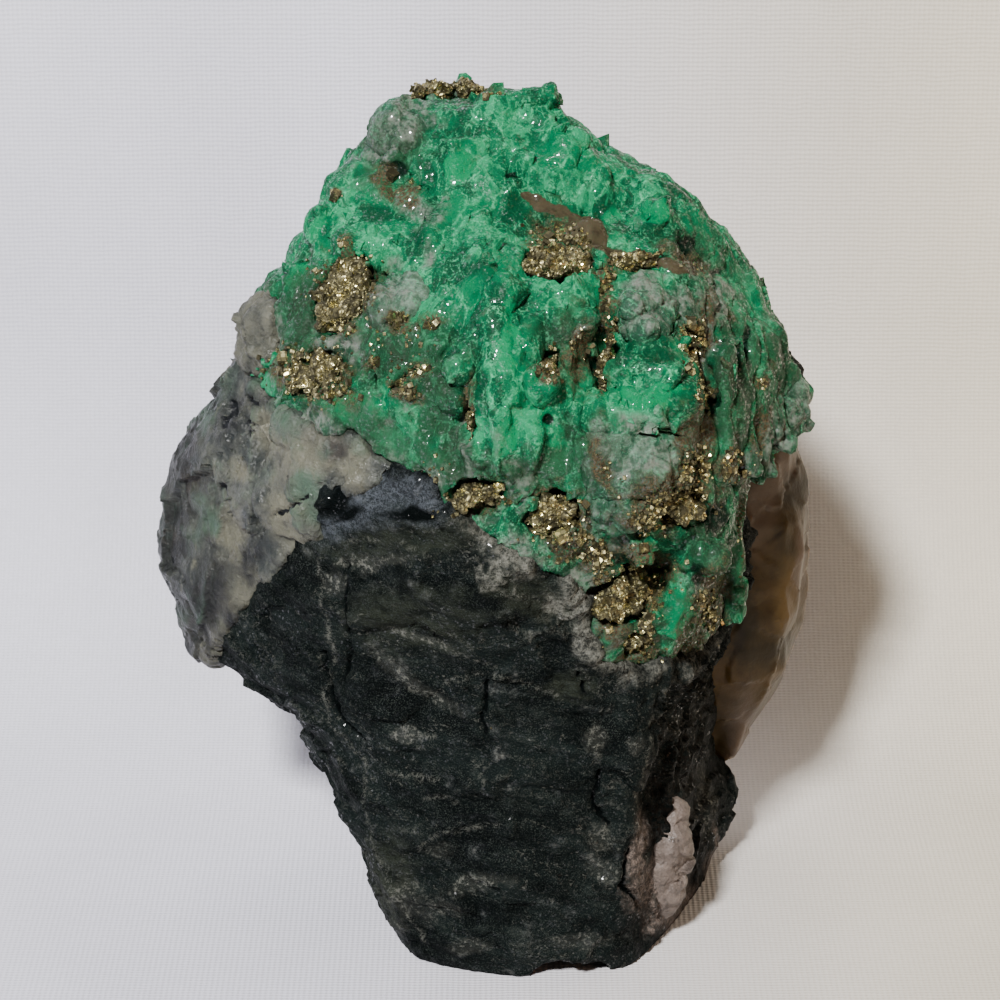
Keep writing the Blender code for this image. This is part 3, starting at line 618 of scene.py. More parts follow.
@dataclass(frozen=True)
class Finish:
    """What every mineral's finish has.

    Attributes:
        name: the material's name.
    """

    name: str

    def shader(self) -> tuple[Material, Tree, ShaderNode]:
        """A new material, its tree and its Principled node."""
        material = bpy.data.materials.new(self.name)
        material.use_nodes = True
        return material, Tree(material.node_tree), material.node_tree.nodes["Principled BSDF"]

    @staticmethod
    def dial(shader: ShaderNode, values: dict[str, float | Colour]) -> None:
        """Sets plain values on the shader, by the names of its inputs."""
        for name, value in values.items():
            shader.inputs[name].default_value = value

    @staticmethod
    def soft_light(shader: ShaderNode, weight: float, radius: Colour, depth_mm: float) -> None:
        """Lets light pass a little way into the mineral."""
        Finish.dial(shader, {"Subsurface Weight": weight, "Subsurface Radius": radius,
                            "Subsurface Scale": depth_mm * MM})

    @staticmethod
    def bump(t: Tree, shader: ShaderNode, height: object, depth_mm: float) -> None:
        """Feeds the shader's normal from a height."""
        node = t.add("Bump", {"Height": height, "Distance": depth_mm * MM, "Strength": 1.0})
        t.feed(shader.inputs["Normal"], node.outputs[0])

    @staticmethod
    def patcher(t: Tree, groups: Groups, noise: Socket, rag: float, softness: float) -> Callable[..., Socket]:
        """Gives a function that makes the ragged mask of one painted layer.

        Args:
            t: the material's tree.
            groups: the shared groups.
            noise: what breaks up the masks' edges.
            rag: how strongly it does, unless the mask says otherwise.
            softness: how softly the edges fade, unless the mask says otherwise.
        """
        def patch(layer: str, rag: float = rag, softness: float = softness) -> Socket:
            """The ragged mask of this painted layer."""
            inputs = {"Cover": t.layer(layer), "Noise": noise, "Rag": rag, "Softness": softness}
            return t.group(groups.patch, inputs)["Mask"]

        return patch


@dataclass(frozen=True)
class EmeraldFinish(Finish):
    """Frosted green beryl in grains, with glassy deep windows, grey calcite patches, brown stains, and
    near-black painted shade in crevices and pits.
    """

    window: Colour = (0.0002, 0.115, 0.045)
    glow: Colour = (0.0003, 0.165, 0.062)
    dim: Colour = (0.001, 0.044, 0.018)
    veil: Colour = (0.002, 0.088, 0.036)
    frost: Colour = (0.014, 0.210, 0.090)
    sugar: Colour = (0.085, 0.400, 0.200)
    # near-black: painted shade for crevices and pits, and the colour of a few dark green crystals
    dark: Colour = (0.001, 0.010, 0.005)
    dusk: Colour = (0.016, 0.028, 0.015)
    grey: Colour = (0.140, 0.158, 0.130)
    dull: Colour = (0.022, 0.050, 0.032)
    stain: Colour = (0.022, 0.018, 0.010)
    rust: Colour = (0.066, 0.050, 0.025)
    slab: Colour = (0.050, 0.042, 0.023)

    def build(self, groups: Groups) -> Material:
        """Makes the material from the crust's painted layers."""
        material, t, shader = self.shader()
        cloud, fleck = t.noise(4.0, 1.0), t.noise(0.9, 2.0, 0.7)
        mottle, speck, ragged = t.noise(0.28, 1.0, 0.7), t.noise(0.14, 0.0), t.noise(2.0, 3.0, 0.62)
        grown = t.grown((1, 1, 1.7), 2.0, 1.5)
        large = t.group(groups.cells, {"Place": grown, "Loose": fleck, "Scale": 360.0, "Line": 0.04})
        small = t.group(groups.cells, {"Place": grown, "Loose": ragged, "Scale": 800.0, "Line": 0.055})
        tiny = t.group(groups.sparkles, {})
        patch = self.patcher(t, groups, ragged, 0.9, 0.14)

        def clear_cells(cells: bpy.types.NodeOutputs, share: float) -> Socket:
            """Clear crystals among the frosted ones: about this share of them, fewer where there is frost."""
            chance = t.blend((cells["Tone"], 1.0), (t.layer("frost"), -0.3), (t.layer("deep"), 0.2))
            inner = t.span(cells["Border"], 0.03, 0.16)
            return t.times(t.span(chance, 1.0 - share, 1.03 - share), inner)

        near_edge = t.span(small["Border"], 0.0, 0.25, 1.0, 0.0)
        milky = t.blend((large["Tone"], 0.36), (small["Tone"], 0.28), (fleck, 0.55), (mottle, 0.40),
                        (cloud, 0.85), (near_edge, 0.08), (t.layer("frost"), 0.14))
        colour = t.mix(t.span(milky, 1.03, 1.23), self.dim, self.veil)
        colour = t.mix(t.span(milky, 1.24, 1.56), colour, self.frost)
        colour = t.mix(t.span(speck, 0.60, 0.80, 0.0, 0.20), colour, self.sugar)
        painted = patch("deep", 0.7, 0.10)
        clear = t.most(clear_cells(large, 0.30), t.times(clear_cells(small, 0.27), 0.9))
        clear = t.times(t.most(clear, painted), t.span(mottle, 0.26, 0.40, 0.6, 1.0))
        inside = t.mix(t.span(cloud, 0.40, 0.60), self.dim, self.window)
        inside = t.mix(patch("glow", 0.6, 0.2), inside, self.glow)
        inside = t.mix(t.span(fleck, 0.62, 0.78, 0.0, 0.3), inside, self.veil)
        colour = t.mix(clear, colour, inside)
        outline = t.blend((small["Net"], 0.50), (large["Net"], 0.45))
        outline = t.times(outline, t.span(mottle, 0.42, 0.62, 0.05, 1.0))
        colour = t.mix(t.times(outline, t.lerp(painted, 1.0, 0.25)), colour, self.sugar)
        colour = t.mix(t.times(patch("dusk", 1.6, 0.4), 0.72), colour, self.dusk)
        # Painted shade: crevices and pits go near-black, with a few real dark crystals among them.
        colour = t.mix(patch("dark"), colour, self.dark)
        rough_grey = t.mix(t.span(t.blend((fleck, 0.8), (mottle, 0.2)), 0.36, 0.62), self.dull, self.grey)
        grey = t.times(patch("grey", 1.5, 0.35), t.span(fleck, 0.30, 0.62, 0.45, 0.92))
        colour = t.mix(grey, colour, rough_grey)
        stain = t.times(patch("stain", 1.5, 0.25), t.span(mottle, 0.34, 0.60, 0.35, 1.0))
        colour = t.mix(stain, colour, t.mix(t.span(speck, 0.3, 0.7), self.stain, self.rust))
        slab = patch("slab", 0.5)
        colour = t.mix(slab, colour, t.mix(t.span(fleck, 0.4, 0.8), self.slab, self.stain))
        t.feed(shader.inputs["Base Color"], colour)
        t.feed(shader.inputs["Roughness"], t.lerp(t.most(stain, slab), t.lerp(clear, 0.50, 0.30), 0.6))
        t.feed(shader.inputs["Coat Weight"], t.span(tiny["Tone"], 0.82, 0.85))
        self.dial(shader, {"Coat Roughness": 0.10, "IOR": 1.57, "Specular IOR Level": 0.06})
        self.soft_light(shader, 0.25, (0.2, 1.0, 0.45), 0.5)
        glints = t.times(tiny["Facet"], t.span(tiny["Tone"], 0.80, 0.84, 0.40, 0.9))
        height = t.blend((large["Facet"], 0.9), (small["Facet"], 0.55), (glints, 1.0), (mottle, 0.45),
                         (fleck, 0.45))
        self.bump(t, shader, t.times(height, t.lerp(t.layer("slab"), 1.0, 0.25)), 0.10)
        return material


@dataclass(frozen=True)
class CalciteFinish(Finish):
    """Grey to cream calcite, cloudy and streaked, with smoky and black places."""

    pale: Colour = (0.066, 0.070, 0.060)
    cool: Colour = (0.022, 0.026, 0.025)
    cream: Colour = (0.112, 0.109, 0.078)
    smoke: Colour = (0.010, 0.011, 0.011)
    dark: Colour = (0.003, 0.004, 0.005)
    brown: Colour = (0.033, 0.029, 0.024)
    green: Colour = (0.046, 0.082, 0.056)

    def build(self, groups: Groups) -> Material:
        """Makes the material from the painted layers cream, brown, smoke, dark and green."""
        material, t, shader = self.shader()
        cloud, fleck = t.noise(3.2, 4.0, 0.65), t.noise(0.7, 3.0, 0.7)
        streak = t.noise(1.6, 4.0, 0.7, (1, 1, 2.6))
        cells = t.group(groups.cells, {"Place": t.grown((1, 1, 1.7), 2.2, 1.6), "Scale": 420.0})
        patch = self.patcher(t, groups, cloud, 1.3, 0.45)
        mood = t.blend((cloud, 0.6), (streak, 0.5), (cells["Tone"], 0.08))
        colour = t.mix(t.span(mood, 0.48, 0.66), self.cool, self.pale)
        colour = t.mix(t.times(patch("cream"), 0.85), colour, self.cream)
        colour = t.mix(patch("brown"), colour, t.mix(t.span(streak, 0.4, 0.6), self.brown, self.cool))
        colour = t.mix(patch("green", 1.4, 0.35), colour, self.green)
        smoke = t.times(patch("smoke"), t.span(streak, 0.36, 0.60, 1.0, 0.55))
        colour = t.mix(smoke, colour, self.smoke)
        colour = t.mix(t.span(fleck, 0.54, 0.74, 0.0, 0.55), colour, self.smoke)
        colour = t.mix(t.span(streak, 0.60, 0.72, 0.0, 0.5), colour, self.cream)
        veins = t.group(groups.veins, {"Scale": 190.0, "Width": 0.012})["Mask"]
        colour = t.mix(t.times(veins, 0.7), colour, self.smoke)
        dark = t.span(t.plus(t.layer("dark"), t.times(fleck, 0.8)), 0.75, 0.95)
        t.feed(shader.inputs["Base Color"], t.mix(dark, colour, self.dark))
        sugar = t.group(groups.sugar, {"Scale": 1300.0})
        t.feed(shader.inputs["Roughness"], t.lerp(sugar["Glint"], 0.46, 0.22))
        self.dial(shader, {"Specular IOR Level": 0.20})
        self.soft_light(shader, 0.30, (1.0, 0.9, 0.8), 0.7)
        self.bump(t, shader, t.blend((sugar["Height"], 1.0), (fleck, 1.6), (cells["Facet"], 3.0)), 0.11)
        return material


@dataclass(frozen=True)
class BrownCalciteFinish(Finish):
    """Smoky brown calcite that light passes into, paler and pinker at its top and tail."""

    smoky: Colour = (0.036, 0.024, 0.009)
    amber: Colour = (0.080, 0.047, 0.014)
    pink: Colour = (0.090, 0.062, 0.042)
    dark: Colour = (0.014, 0.011, 0.005)

    def build(self, groups: Groups) -> Material:
        """Makes the material from the painted layers pink and dark."""
        material, t, shader = self.shader()
        cloud, fleck = t.noise(6.0, 4.0), t.noise(1.0, 4.0, 0.65)
        colour = t.mix(t.span(cloud, 0.34, 0.68), self.smoky, self.amber)
        pink = self.patcher(t, groups, cloud, 0.9, 0.45)("pink")
        dark = self.patcher(t, groups, fleck, 0.9, 0.40)("dark")
        colour = t.mix(pink, colour, self.pink)
        dark = t.most(t.times(dark, 0.7), t.span(fleck, 0.58, 0.76, 0.0, 0.25))
        t.feed(shader.inputs["Base Color"], t.mix(dark, colour, self.dark))
        t.feed(shader.inputs["Roughness"], t.lerp(fleck, 0.34, 0.5))
        self.soft_light(shader, 0.55, (1.0, 0.7, 0.4), 2.2)
        self.dial(shader, {"Specular IOR Level": 0.18})
        self.bump(t, shader, t.plus(fleck, t.times(t.noise(0.35, 2.0), 0.4)), 0.07)
        return material


@dataclass(frozen=True)
class ShaleFinish(Finish):
    """Blue-black shale with a silky sheen, fine pale veins and grey dust, with a painted grey-green sheen
    band, painted highlights on its step edges and painted shadow lines under its steps.
    """

    black: Colour = (0.0008, 0.0018, 0.0018)
    slate: Colour = (0.0050, 0.0082, 0.0077)
    # painted sheen colour: a lighter grey-green band where the shale's faces catch the light
    olive_sheen: Colour = (0.0155, 0.0185, 0.0130)
    dust: Colour = (0.026, 0.031, 0.027)
    pale: Colour = (0.120, 0.122, 0.104)
    pink: Colour = (0.170, 0.135, 0.115)
    blue: Colour = (0.066, 0.075, 0.086)
    brown: Colour = (0.0065, 0.0048, 0.0035)
    rime: Colour = (0.150, 0.150, 0.128)

    def build(self, groups: Groups) -> Material:
        """Makes the material from the shale's painted layers."""
        material, t, shader = self.shader()
        cloud = t.noise(6.0, 3.0, 0.65, (1.8, 1, 0.85), 0.30)
        streak = t.noise(1.5, 3.0, 0.7, (2.6, 1, 0.8), 0.24)
        fleck, ragged, grit = t.noise(0.45, 2.0, 0.75), t.noise(2.2, 3.0, 0.62), t.noise(0.13, 1.0, 0.9)
        sparkles = t.group(groups.sparkles, {})
        patch = self.patcher(t, groups, ragged, 1.2, 0.25)
        sheen = t.blend((cloud, 0.7), (streak, 0.3))
        colour = t.mix(t.span(sheen, 0.40, 0.60), self.black, self.slate)
        # Painted sheen: a grey-green band, lighter where the shale's faces catch the light.
        olive_sheen = t.times(patch("olive_sheen"), t.span(streak, 0.35, 0.6, 0.25, 1.0))
        colour = t.mix(olive_sheen, colour, self.olive_sheen)
        brown = t.times(patch("brown"), t.span(fleck, 0.42, 0.60))
        colour = t.mix(brown, colour, self.brown)
        open_face = t.lerp(t.layer("brown"), 1.0, 0.25)
        dust = t.times(t.span(streak, 0.54, 0.72), t.span(cloud, 0.42, 0.60, 0.05, 0.8))
        dust = t.times(t.times(dust, t.span(fleck, 0.40, 0.60, 0.3, 1.0)), open_face)
        colour = t.mix(dust, colour, self.dust)
        grains = t.times(t.span(grit, 0.54, 0.64), t.span(streak, 0.4, 0.6, 0.45, 1.0))
        colour = t.mix(t.times(grains, open_face), colour, self.dust)
        ledge = t.math("FRACT", t.times(sheen, 8.0))
        broken = t.times(t.span(fleck, 0.44, 0.58), t.span(cloud, 0.44, 0.54))
        # Painted shadow: a black line just past each step of the sheen's contours, where the step drops.
        colour = t.mix(t.times(t.span(ledge, 0.0, 0.14, 0.9, 0.0), broken), colour, self.black)
        veins = t.group(groups.veins, {"Scale": 110.0, "Width": 0.008})["Mask"]
        # Painted highlights: the sharp step edges, and the tops of the sheen's steps, are made pale as if
        # they caught the light.
        lip_highlights = t.times(t.layer("lip"), t.span(cloud, 0.46, 0.60, 0.0, 0.7))
        crest_highlights = t.times(t.span(ledge, 0.86, 0.97, 0.0, 0.8), broken)
        crumbs = t.blend((fleck, 0.6), (grit, 0.4))
        # The pale colour goes on the real and drawn veins, and as painted highlights on the step edges.
        lines = t.most(t.most(veins, t.layer("line")), t.most(lip_highlights, crest_highlights))
        colour = t.mix(t.times(lines, t.span(crumbs, 0.44, 0.60, 0.0, 0.6)), colour, self.pale)
        blue = t.times(patch("blue", 1.6, 0.45), t.span(crumbs, 0.40, 0.62, 0.25, 1.0))
        colour = t.mix(blue, colour, self.blue)
        patchy = t.times(t.span(fleck, 0.50, 0.64), t.span(streak, 0.35, 0.60, 0.15, 1.0))
        pale = t.times(patch("pale", 1.6, 0.35), t.plus(0.10, t.times(patchy, 0.75)))
        colour = t.mix(pale, colour, self.pale)
        pink = t.times(patch("pink", 1.2, 0.3), t.span(fleck, 0.30, 0.62, 1.0, 0.25))
        colour = t.mix(pink, colour, self.pink)
        crumbly = t.span(t.blend((fleck, 0.6), (streak, 0.25), (grit, 0.15)), 0.38, 0.62, 0.10, 0.95)
        colour = t.mix(t.times(patch("rime", 1.6, 0.35), crumbly), colour, self.rime)
        colour = t.mix(t.most(t.span(t.layer("crack"), 0.35, 0.7), patch("black")), colour, self.black)
        t.feed(shader.inputs["Base Color"], colour)
        t.feed(shader.inputs["Roughness"], t.lerp(t.span(streak, 0.3, 0.7), 0.45, 0.68))
        glints = t.times(t.span(sparkles["Tone"], 0.93, 0.95), t.span(cloud, 0.42, 0.58, 0.2, 0.7))
        t.feed(shader.inputs["Coat Weight"], glints)
        self.dial(shader, {"Coat Roughness": 0.16, "Specular IOR Level": 0.035})
        height = t.blend((streak, 1.4), (fleck, 0.8), (ledge, 0.5), (sparkles["Facet"], 0.30), (grit, 1.0))
        self.bump(t, shader, height, 0.16)
        return material


@dataclass(frozen=True)
class PyriteFinish(Finish):
    """Brassy, glittering iron sulphide, here and there tarnished brown."""

    brass: Colour = (0.76, 0.68, 0.33)
    bronze: Colour = (0.19, 0.17, 0.085)
    soot: Colour = (0.060, 0.054, 0.030)

    def build(self, groups: Groups) -> Material:
        """Makes the material from the painted layer tarnish."""
        material, t, shader = self.shader()
        grain = t.group(groups.cells, {"Place": t.place(), "Scale": 2700.0, "Line": 0.12})
        worn = t.blend((t.layer("tarnish"), 0.45), (grain["Tone"], 0.40), (t.noise(1.1, 2.0, 0.7), 0.55))
        colour = t.mix(t.span(worn, 0.46, 0.66), self.brass, self.bronze)
        colour = t.mix(t.span(worn, 0.72, 0.90), colour, self.soot)
        colour = t.mix(t.times(grain["Net"], 0.7), colour, self.soot)
        t.feed(shader.inputs["Base Color"], colour)
        t.feed(shader.inputs["Roughness"], t.span(worn, 0.45, 0.90, 0.20, 0.55))
        self.dial(shader, {"Metallic": 0.90})
        self.bump(t, shader, grain["Facet"], 0.14)
        return material


@dataclass
class Wardrobe:
    """Every material, built once."""

    groups: Groups = field(default_factory=Groups)

    def __post_init__(self) -> None:
        """Builds the materials."""
        self.emerald = EmeraldFinish("emerald").build(self.groups)
        veiled = EmeraldFinish("veiled calcite", window=(0.006, 0.085, 0.040), dim=(0.012, 0.050, 0.027),
                               veil=(0.048, 0.096, 0.062), frost=(0.125, 0.200, 0.145))
        self.veiled = veiled.build(self.groups)
        self.calcite = CalciteFinish("calcite").build(self.groups)
        rosy = CalciteFinish("rosy calcite", pale=(0.120, 0.096, 0.084), cool=(0.040, 0.032, 0.028),
                             cream=(0.170, 0.138, 0.118))
        self.rosy = rosy.build(self.groups)
        self.brown = BrownCalciteFinish("brown calcite").build(self.groups)
        self.shale = ShaleFinish("shale").build(self.groups)
        self.pyrite = PyriteFinish("pyrite").build(self.groups)


# ---------------------------------------------------------------- what lies where, in picture places

DEEP: list[Spot] = [
    (457, 168, 12, 16, 0), (541, 147, 13, 21, -35), (454, 119, 9, 10, 0), (447, 212, 8, 20, 25),
    (381, 211, 20, 11, 30), (301, 275, 14, 16, 0), (478, 281, 12, 22, 22), (499, 294, 8, 18, 0),
    (508, 268, 15, 9, 35), (548, 88, 7, 9, 0), (311, 211, 7, 15, 10), (598, 152, 6, 7, 0),
    (584, 168, 9, 9, 0), (674, 190, 10, 10, 0), (650, 220, 15, 14, 0), (605, 216, 10, 14, 0),
    (652, 275, 8, 9, 0), (613, 266, 13, 8, 30), (506, 335, 9, 40, 5), (475, 316, 9, 14, 15),
    (531, 325, 8, 14, 25), (590, 300, 10, 12, 0), (546, 380, 14, 13, 0), (624, 399, 23, 9, 6),
    (660, 391, 18, 13, 0), (681, 392, 6, 9, 0), (662, 354, 24, 9, 4), (784, 378, 8, 8, 0),
    (787, 341, 7, 9, 0), (746, 390, 12, 14, 0), (546, 421, 10, 12, 0), (521, 403, 10, 8, 0),
    (557, 454, 8, 24, 0), (721, 336, 6, 13, 0), (590, 469, 9, 10, 0), (426, 449, 9, 22, 10),
    (505, 437, 12, 18, 0), (292, 395, 12, 10, 0), (357, 408, 24, 20, 30), (352, 364, 9, 14, -20),
    (672, 617, 15, 27, -10), (640, 549, 10, 14, 0), (737, 528, 7, 36, 0), (696, 566, 13, 16, 0),
    (470, 460, 9, 16, 0), (420, 235, 12, 10, 0), (330, 238, 10, 12, 0), (515, 215, 14, 10, 20),
    (620, 150, 8, 8, 0), (700, 230, 12, 18, -30), (440, 350, 12, 10, 0),
]
# Near-black painted shade in crevices and pits, where the crust is also sunk, and a few dark green crystals.
DARK_CRYSTALS_AND_CREVICE_SHADE: list[Spot] = [
    (398, 170, 10, 8, 30), (626, 559, 11, 15, 0), (590, 470, 8, 9, 0), (712, 516, 13, 15, 0),
    (698, 575, 11, 10, 0), (548, 424, 8, 7, 0), (512, 172, 10, 5, 0), (688, 246, 10, 8, 30),
    (590, 366, 6, 8, 0), (715, 405, 4, 18, 0), (777, 450, 5, 22, 20), (741, 350, 3, 26, 6),
    (716, 290, 3, 22, 12),
]
FROST: list[Spot] = [
    (520, 118, 42, 18, 10), (575, 190, 38, 14, 20), (640, 250, 30, 10, 10), (560, 300, 26, 22, 0),
    (600, 385, 12, 30, 0), (640, 372, 40, 8, 0), (500, 425, 40, 34, 0), (470, 245, 40, 20, 0),
    (350, 225, 30, 16, 30), (640, 190, 20, 16, 0), (700, 560, 16, 10, 0), (610, 640, 14, 14, 0),
    (545, 500, 20, 10, 0), (740, 300, 14, 34, 0), (268, 368, 20, 20, 0), (395, 440, 26, 20, 0),
    (360, 190, 24, 14, -30), (490, 150, 18, 24, 0), (420, 300, 22, 40, 0), (655, 470, 30, 14, 0),
    (735, 420, 10, 40, 0), (385, 345, 18, 14, 0),
]
GREY: list[Spot] = [
    (256, 326, 17, 30, 0), (410, 118, 24, 15, -20), (380, 150, 26, 10, -35), (422, 212, 20, 13, 20),
    (640, 284, 15, 13, 0), (668, 306, 28, 22, 0), (705, 330, 9, 55, 4), (700, 420, 8, 34, 0),
    (650, 442, 38, 22, -8), (795, 406, 17, 20, 0), (345, 344, 24, 13, 20), (392, 290, 13, 22, 10),
    (469, 440, 5, 36, 0), (430, 255, 5, 12, 0), (575, 330, 20, 7, -30), (620, 452, 14, 14, 40),
    (600, 430, 12, 12, 0), (560, 530, 44, 8, 22), (740, 470, 14, 26, 0), (775, 440, 16, 26, 20),
    (430, 480, 20, 8, 20), (604, 600, 12, 30, -15), (690, 268, 10, 8, 0), (720, 300, 12, 16, 0),
    (350, 262, 10, 8, 0), (275, 350, 12, 22, 0), (320, 430, 50, 14, 25), (585, 520, 16, 20, 0),
    (700, 590, 20, 8, 0), (455, 92, 24, 9, 10),
]
STAIN: list[Spot] = [
    (346, 285, 33, 28, 0), (345, 328, 12, 11, 0), (312, 375, 40, 25, 18), (398, 318, 12, 9, 0),
    (431, 322, 10, 8, 0), (373, 361, 8, 8, 0), (406, 390, 17, 10, 20), (421, 371, 14, 8, 0),
    (345, 241, 8, 7, 0), (336, 195, 6, 7, 0), (560, 243, 30, 22, 10), (607, 296, 8, 38, 8),
    (551, 374, 13, 9, 0), (694, 345, 15, 28, 0), (702, 392, 10, 16, 0), (695, 470, 17, 24, 0),
    (734, 464, 12, 20, 0), (668, 508, 46, 21, -20), (480, 497, 32, 11, 5), (558, 517, 29, 27, 0),
    (598, 559, 15, 15, 0), (631, 591, 32, 24, 0), (644, 637, 12, 22, 0), (706, 611, 17, 22, 0),
    (762, 383, 6, 9, 0), (435, 82, 18, 10, 0), (475, 88, 28, 8, 10), (405, 195, 22, 12, 35),
    (385, 175, 10, 12, 0), (470, 400, 8, 22, 0), (600, 385, 9, 16, 0), (690, 262, 26, 9, 30),
    (604, 470, 8, 40, -25), (700, 440, 12, 30, 0), (665, 575, 13, 12, 0), (640, 655, 30, 12, 10),
    (610, 610, 12, 40, -10), (740, 540, 4, 40, 0), (760, 430, 8, 20, 10), (612, 327, 9, 14, 0),
    (580, 345, 16, 34, 10), (690, 445, 14, 40, 0), (670, 500, 50, 26, -20), (650, 560, 30, 16, 20),
    (716, 600, 12, 40, 0), (702, 330, 10, 40, 5), (575, 545, 34, 12, 20), (690, 640, 16, 24, 0),
]
GLOW: list[Spot] = [
    (624, 399, 26, 11, 6), (660, 391, 20, 14, 0), (506, 335, 10, 42, 5), (640, 549, 14, 14, 0),
    (546, 421, 10, 12, 0), (311, 205, 20, 40, 20), (508, 437, 20, 30, 0), (560, 454, 8, 24, 0),
    (292, 270, 16, 16, 0), (352, 408, 24, 20, 0), (620, 222, 14, 20, 0), (458, 170, 14, 18, 0),
    (655, 212, 14, 14, 0), (737, 540, 8, 40, 0),
]
DUSK: list[Spot] = [
    (736, 400, 26, 120, 0), (718, 560, 30, 60, 0), (770, 440, 24, 50, 10), (370, 440, 70, 30, 25),
    (300, 300, 26, 40, 20), (350, 330, 60, 40, 10), (575, 345, 34, 34, 0), (610, 600, 50, 50, 0),
    (660, 500, 60, 24, -20), (470, 480, 60, 20, 10), (440, 395, 20, 50, 0), (690, 250, 30, 16, 20),
    (390, 150, 30, 40, 30), (780, 350, 20, 50, 0), (290, 330, 40, 60, 20), (410, 360, 50, 40, 0),
    (450, 460, 40, 24, 10), (590, 460, 30, 40, 0), (540, 470, 40, 20, 0),
]
FLUTED: list[Spot] = [(745, 400, 40, 110, 0)]
GROOVES: list[Stroke] = [
    (2.6, [(712, 290), (717, 340), (714, 400), (719, 450), (722, 500)]),
    (2.2, [(733, 300), (737, 350), (731, 400), (737, 450), (734, 505)]),
    (2.2, [(751, 312), (757, 350), (753, 392), (752, 440), (744, 480)]),
    (2.4, [(767, 335), (770, 368), (782, 395), (787, 415), (774, 450)]),
    (1.8, [(700, 285), (704, 330), (702, 370)]),
]
SLAB: list[Spot] = [
    (546, 213, 27, 9, 20), (588, 236, 24, 12, 32), (622, 256, 22, 9, 20), (662, 264, 24, 7, 15),
]
PYRITE: list[Spot] = [
    (346, 285, 30, 25, 0), (345, 326, 10, 9, 0), (312, 374, 38, 22, 18), (398, 318, 10, 7, 0),
    (431, 322, 8, 7, 0), (373, 361, 6, 7, 0), (406, 390, 15, 8, 20), (421, 371, 13, 6, 0),
    (345, 241, 6, 6, 0), (336, 195, 5, 6, 0), (560, 243, 28, 19, 10), (606, 292, 6, 34, 8),
    (551, 374, 12, 8, 0), (553, 347, 4, 4, 0), (694, 345, 13, 26, 0), (702, 392, 8, 14, 0),
    (695, 470, 15, 22, 0), (734, 464, 11, 18, 0), (668, 508, 42, 18, -20), (480, 497, 30, 9, 5),
    (558, 517, 27, 25, 0), (598, 559, 13, 13, 0), (631, 591, 31, 22, 0), (644, 637, 9, 20, 0),
    (706, 611, 14, 20, 0), (762, 383, 5, 8, 0), (433, 82, 14, 8, 10), (468, 86, 20, 7, 5),
    (495, 94, 10, 4, 0), (612, 327, 7, 12, 0), (690, 330, 12, 12, 0), (582, 538, 22, 6, 10),
    (600, 552, 12, 10, 30), (625, 588, 22, 16, 0), (648, 628, 8, 22, 0),
]
PYRITE_FLECKS: list[Spot] = [
    (690, 264, 24, 8, 30), (600, 385, 8, 18, 0), (470, 400, 6, 20, 0), (560, 545, 50, 16, 20),
    (700, 425, 8, 26, 0), (640, 652, 26, 12, 10), (740, 545, 4, 36, 0), (405, 185, 20, 14, 30),
    (610, 470, 10, 30, -25), (400, 350, 40, 24, 0), (430, 470, 20, 16, 30), (445, 510, 20, 10, 10),
    (755, 460, 10, 24, 0), (604, 615, 12, 30, -10), (489, 726, 3, 4, 0), (582, 350, 16, 30, 10),
    (680, 510, 50, 24, -20), (655, 560, 30, 16, 20), (716, 600, 12, 40, 0), (346, 285, 42, 36, 0),
    (312, 374, 50, 34, 18), (560, 243, 40, 28, 10), (631, 591, 44, 34, 0),
]

SHALE_BLUE: list[Spot] = [(385, 497, 46, 20, -8), (345, 520, 26, 12, -20), (420, 500, 26, 18, 0)]
# Where the shale gets its painted sheen band.
SHALE_OLIVE_SHEEN: list[Spot] = [
    (420, 540, 90, 20, -6), (530, 590, 60, 20, 25), (570, 684, 32, 12, -5), (420, 620, 70, 30, 0),
    (380, 880, 30, 50, 10),
]
# Pale grey crust, dust and calcite on the shale; the thin rims near the notch at the foot are pale calcite
# with a painted highlight.
SHALE_PALE: list[Spot] = [
    (594, 600, 22, 40, -14), (560, 566, 34, 10, 30), (520, 548, 30, 6, 24), (629, 652, 22, 10, 10),
    (580, 938, 32, 6, 0), (470, 945, 20, 6, 0), (407, 735, 10, 6, 30), (334, 584, 10, 12, 0),
    (366, 568, 8, 5, 0), (596, 740, 10, 16, 0), (632, 745, 6, 8, 0), (600, 838, 14, 14, 0),
    (603, 870, 14, 8, 30), (440, 850, 14, 8, 0), (410, 900, 24, 14, 30), (450, 905, 16, 10, 0),
    (400, 924, 14, 8, 30), (395, 560, 26, 4, -8), (420, 636, 32, 5, 20), (424, 684, 56, 6, 34),
    (705, 800, 6, 40, 0), (352, 560, 22, 4, -5), (480, 880, 30, 8, -10),
]
SHALE_RIME: list[Spot] = [
    (594, 604, 15, 44, -14), (572, 572, 24, 12, 35), (535, 552, 34, 9, 26), (490, 536, 26, 6, 22),
    (608, 650, 14, 10, 20), (583, 640, 10, 16, 0), (556, 600, 8, 12, 30),
]
SHALE_BLACK: list[Spot] = [
    (338, 504, 14, 16, 20), (414, 513, 28, 6, -5), (426, 478, 12, 7, 0), (350, 515, 16, 7, -20),
]
RIME_REACH: list[Spot] = [(560, 600, 110, 90, 25)]
SHALE_PINK: list[Spot] = [
    (634, 850, 10, 30, 5), (650, 885, 20, 26, 30), (668, 905, 24, 30, 10), (708, 860, 5, 30, 0),
]
SHALE_BROWN: list[Spot] = [
    (675, 780, 32, 90, 5), (690, 700, 26, 40, 0), (650, 830, 18, 40, 0), (690, 860, 20, 40, 0),
]
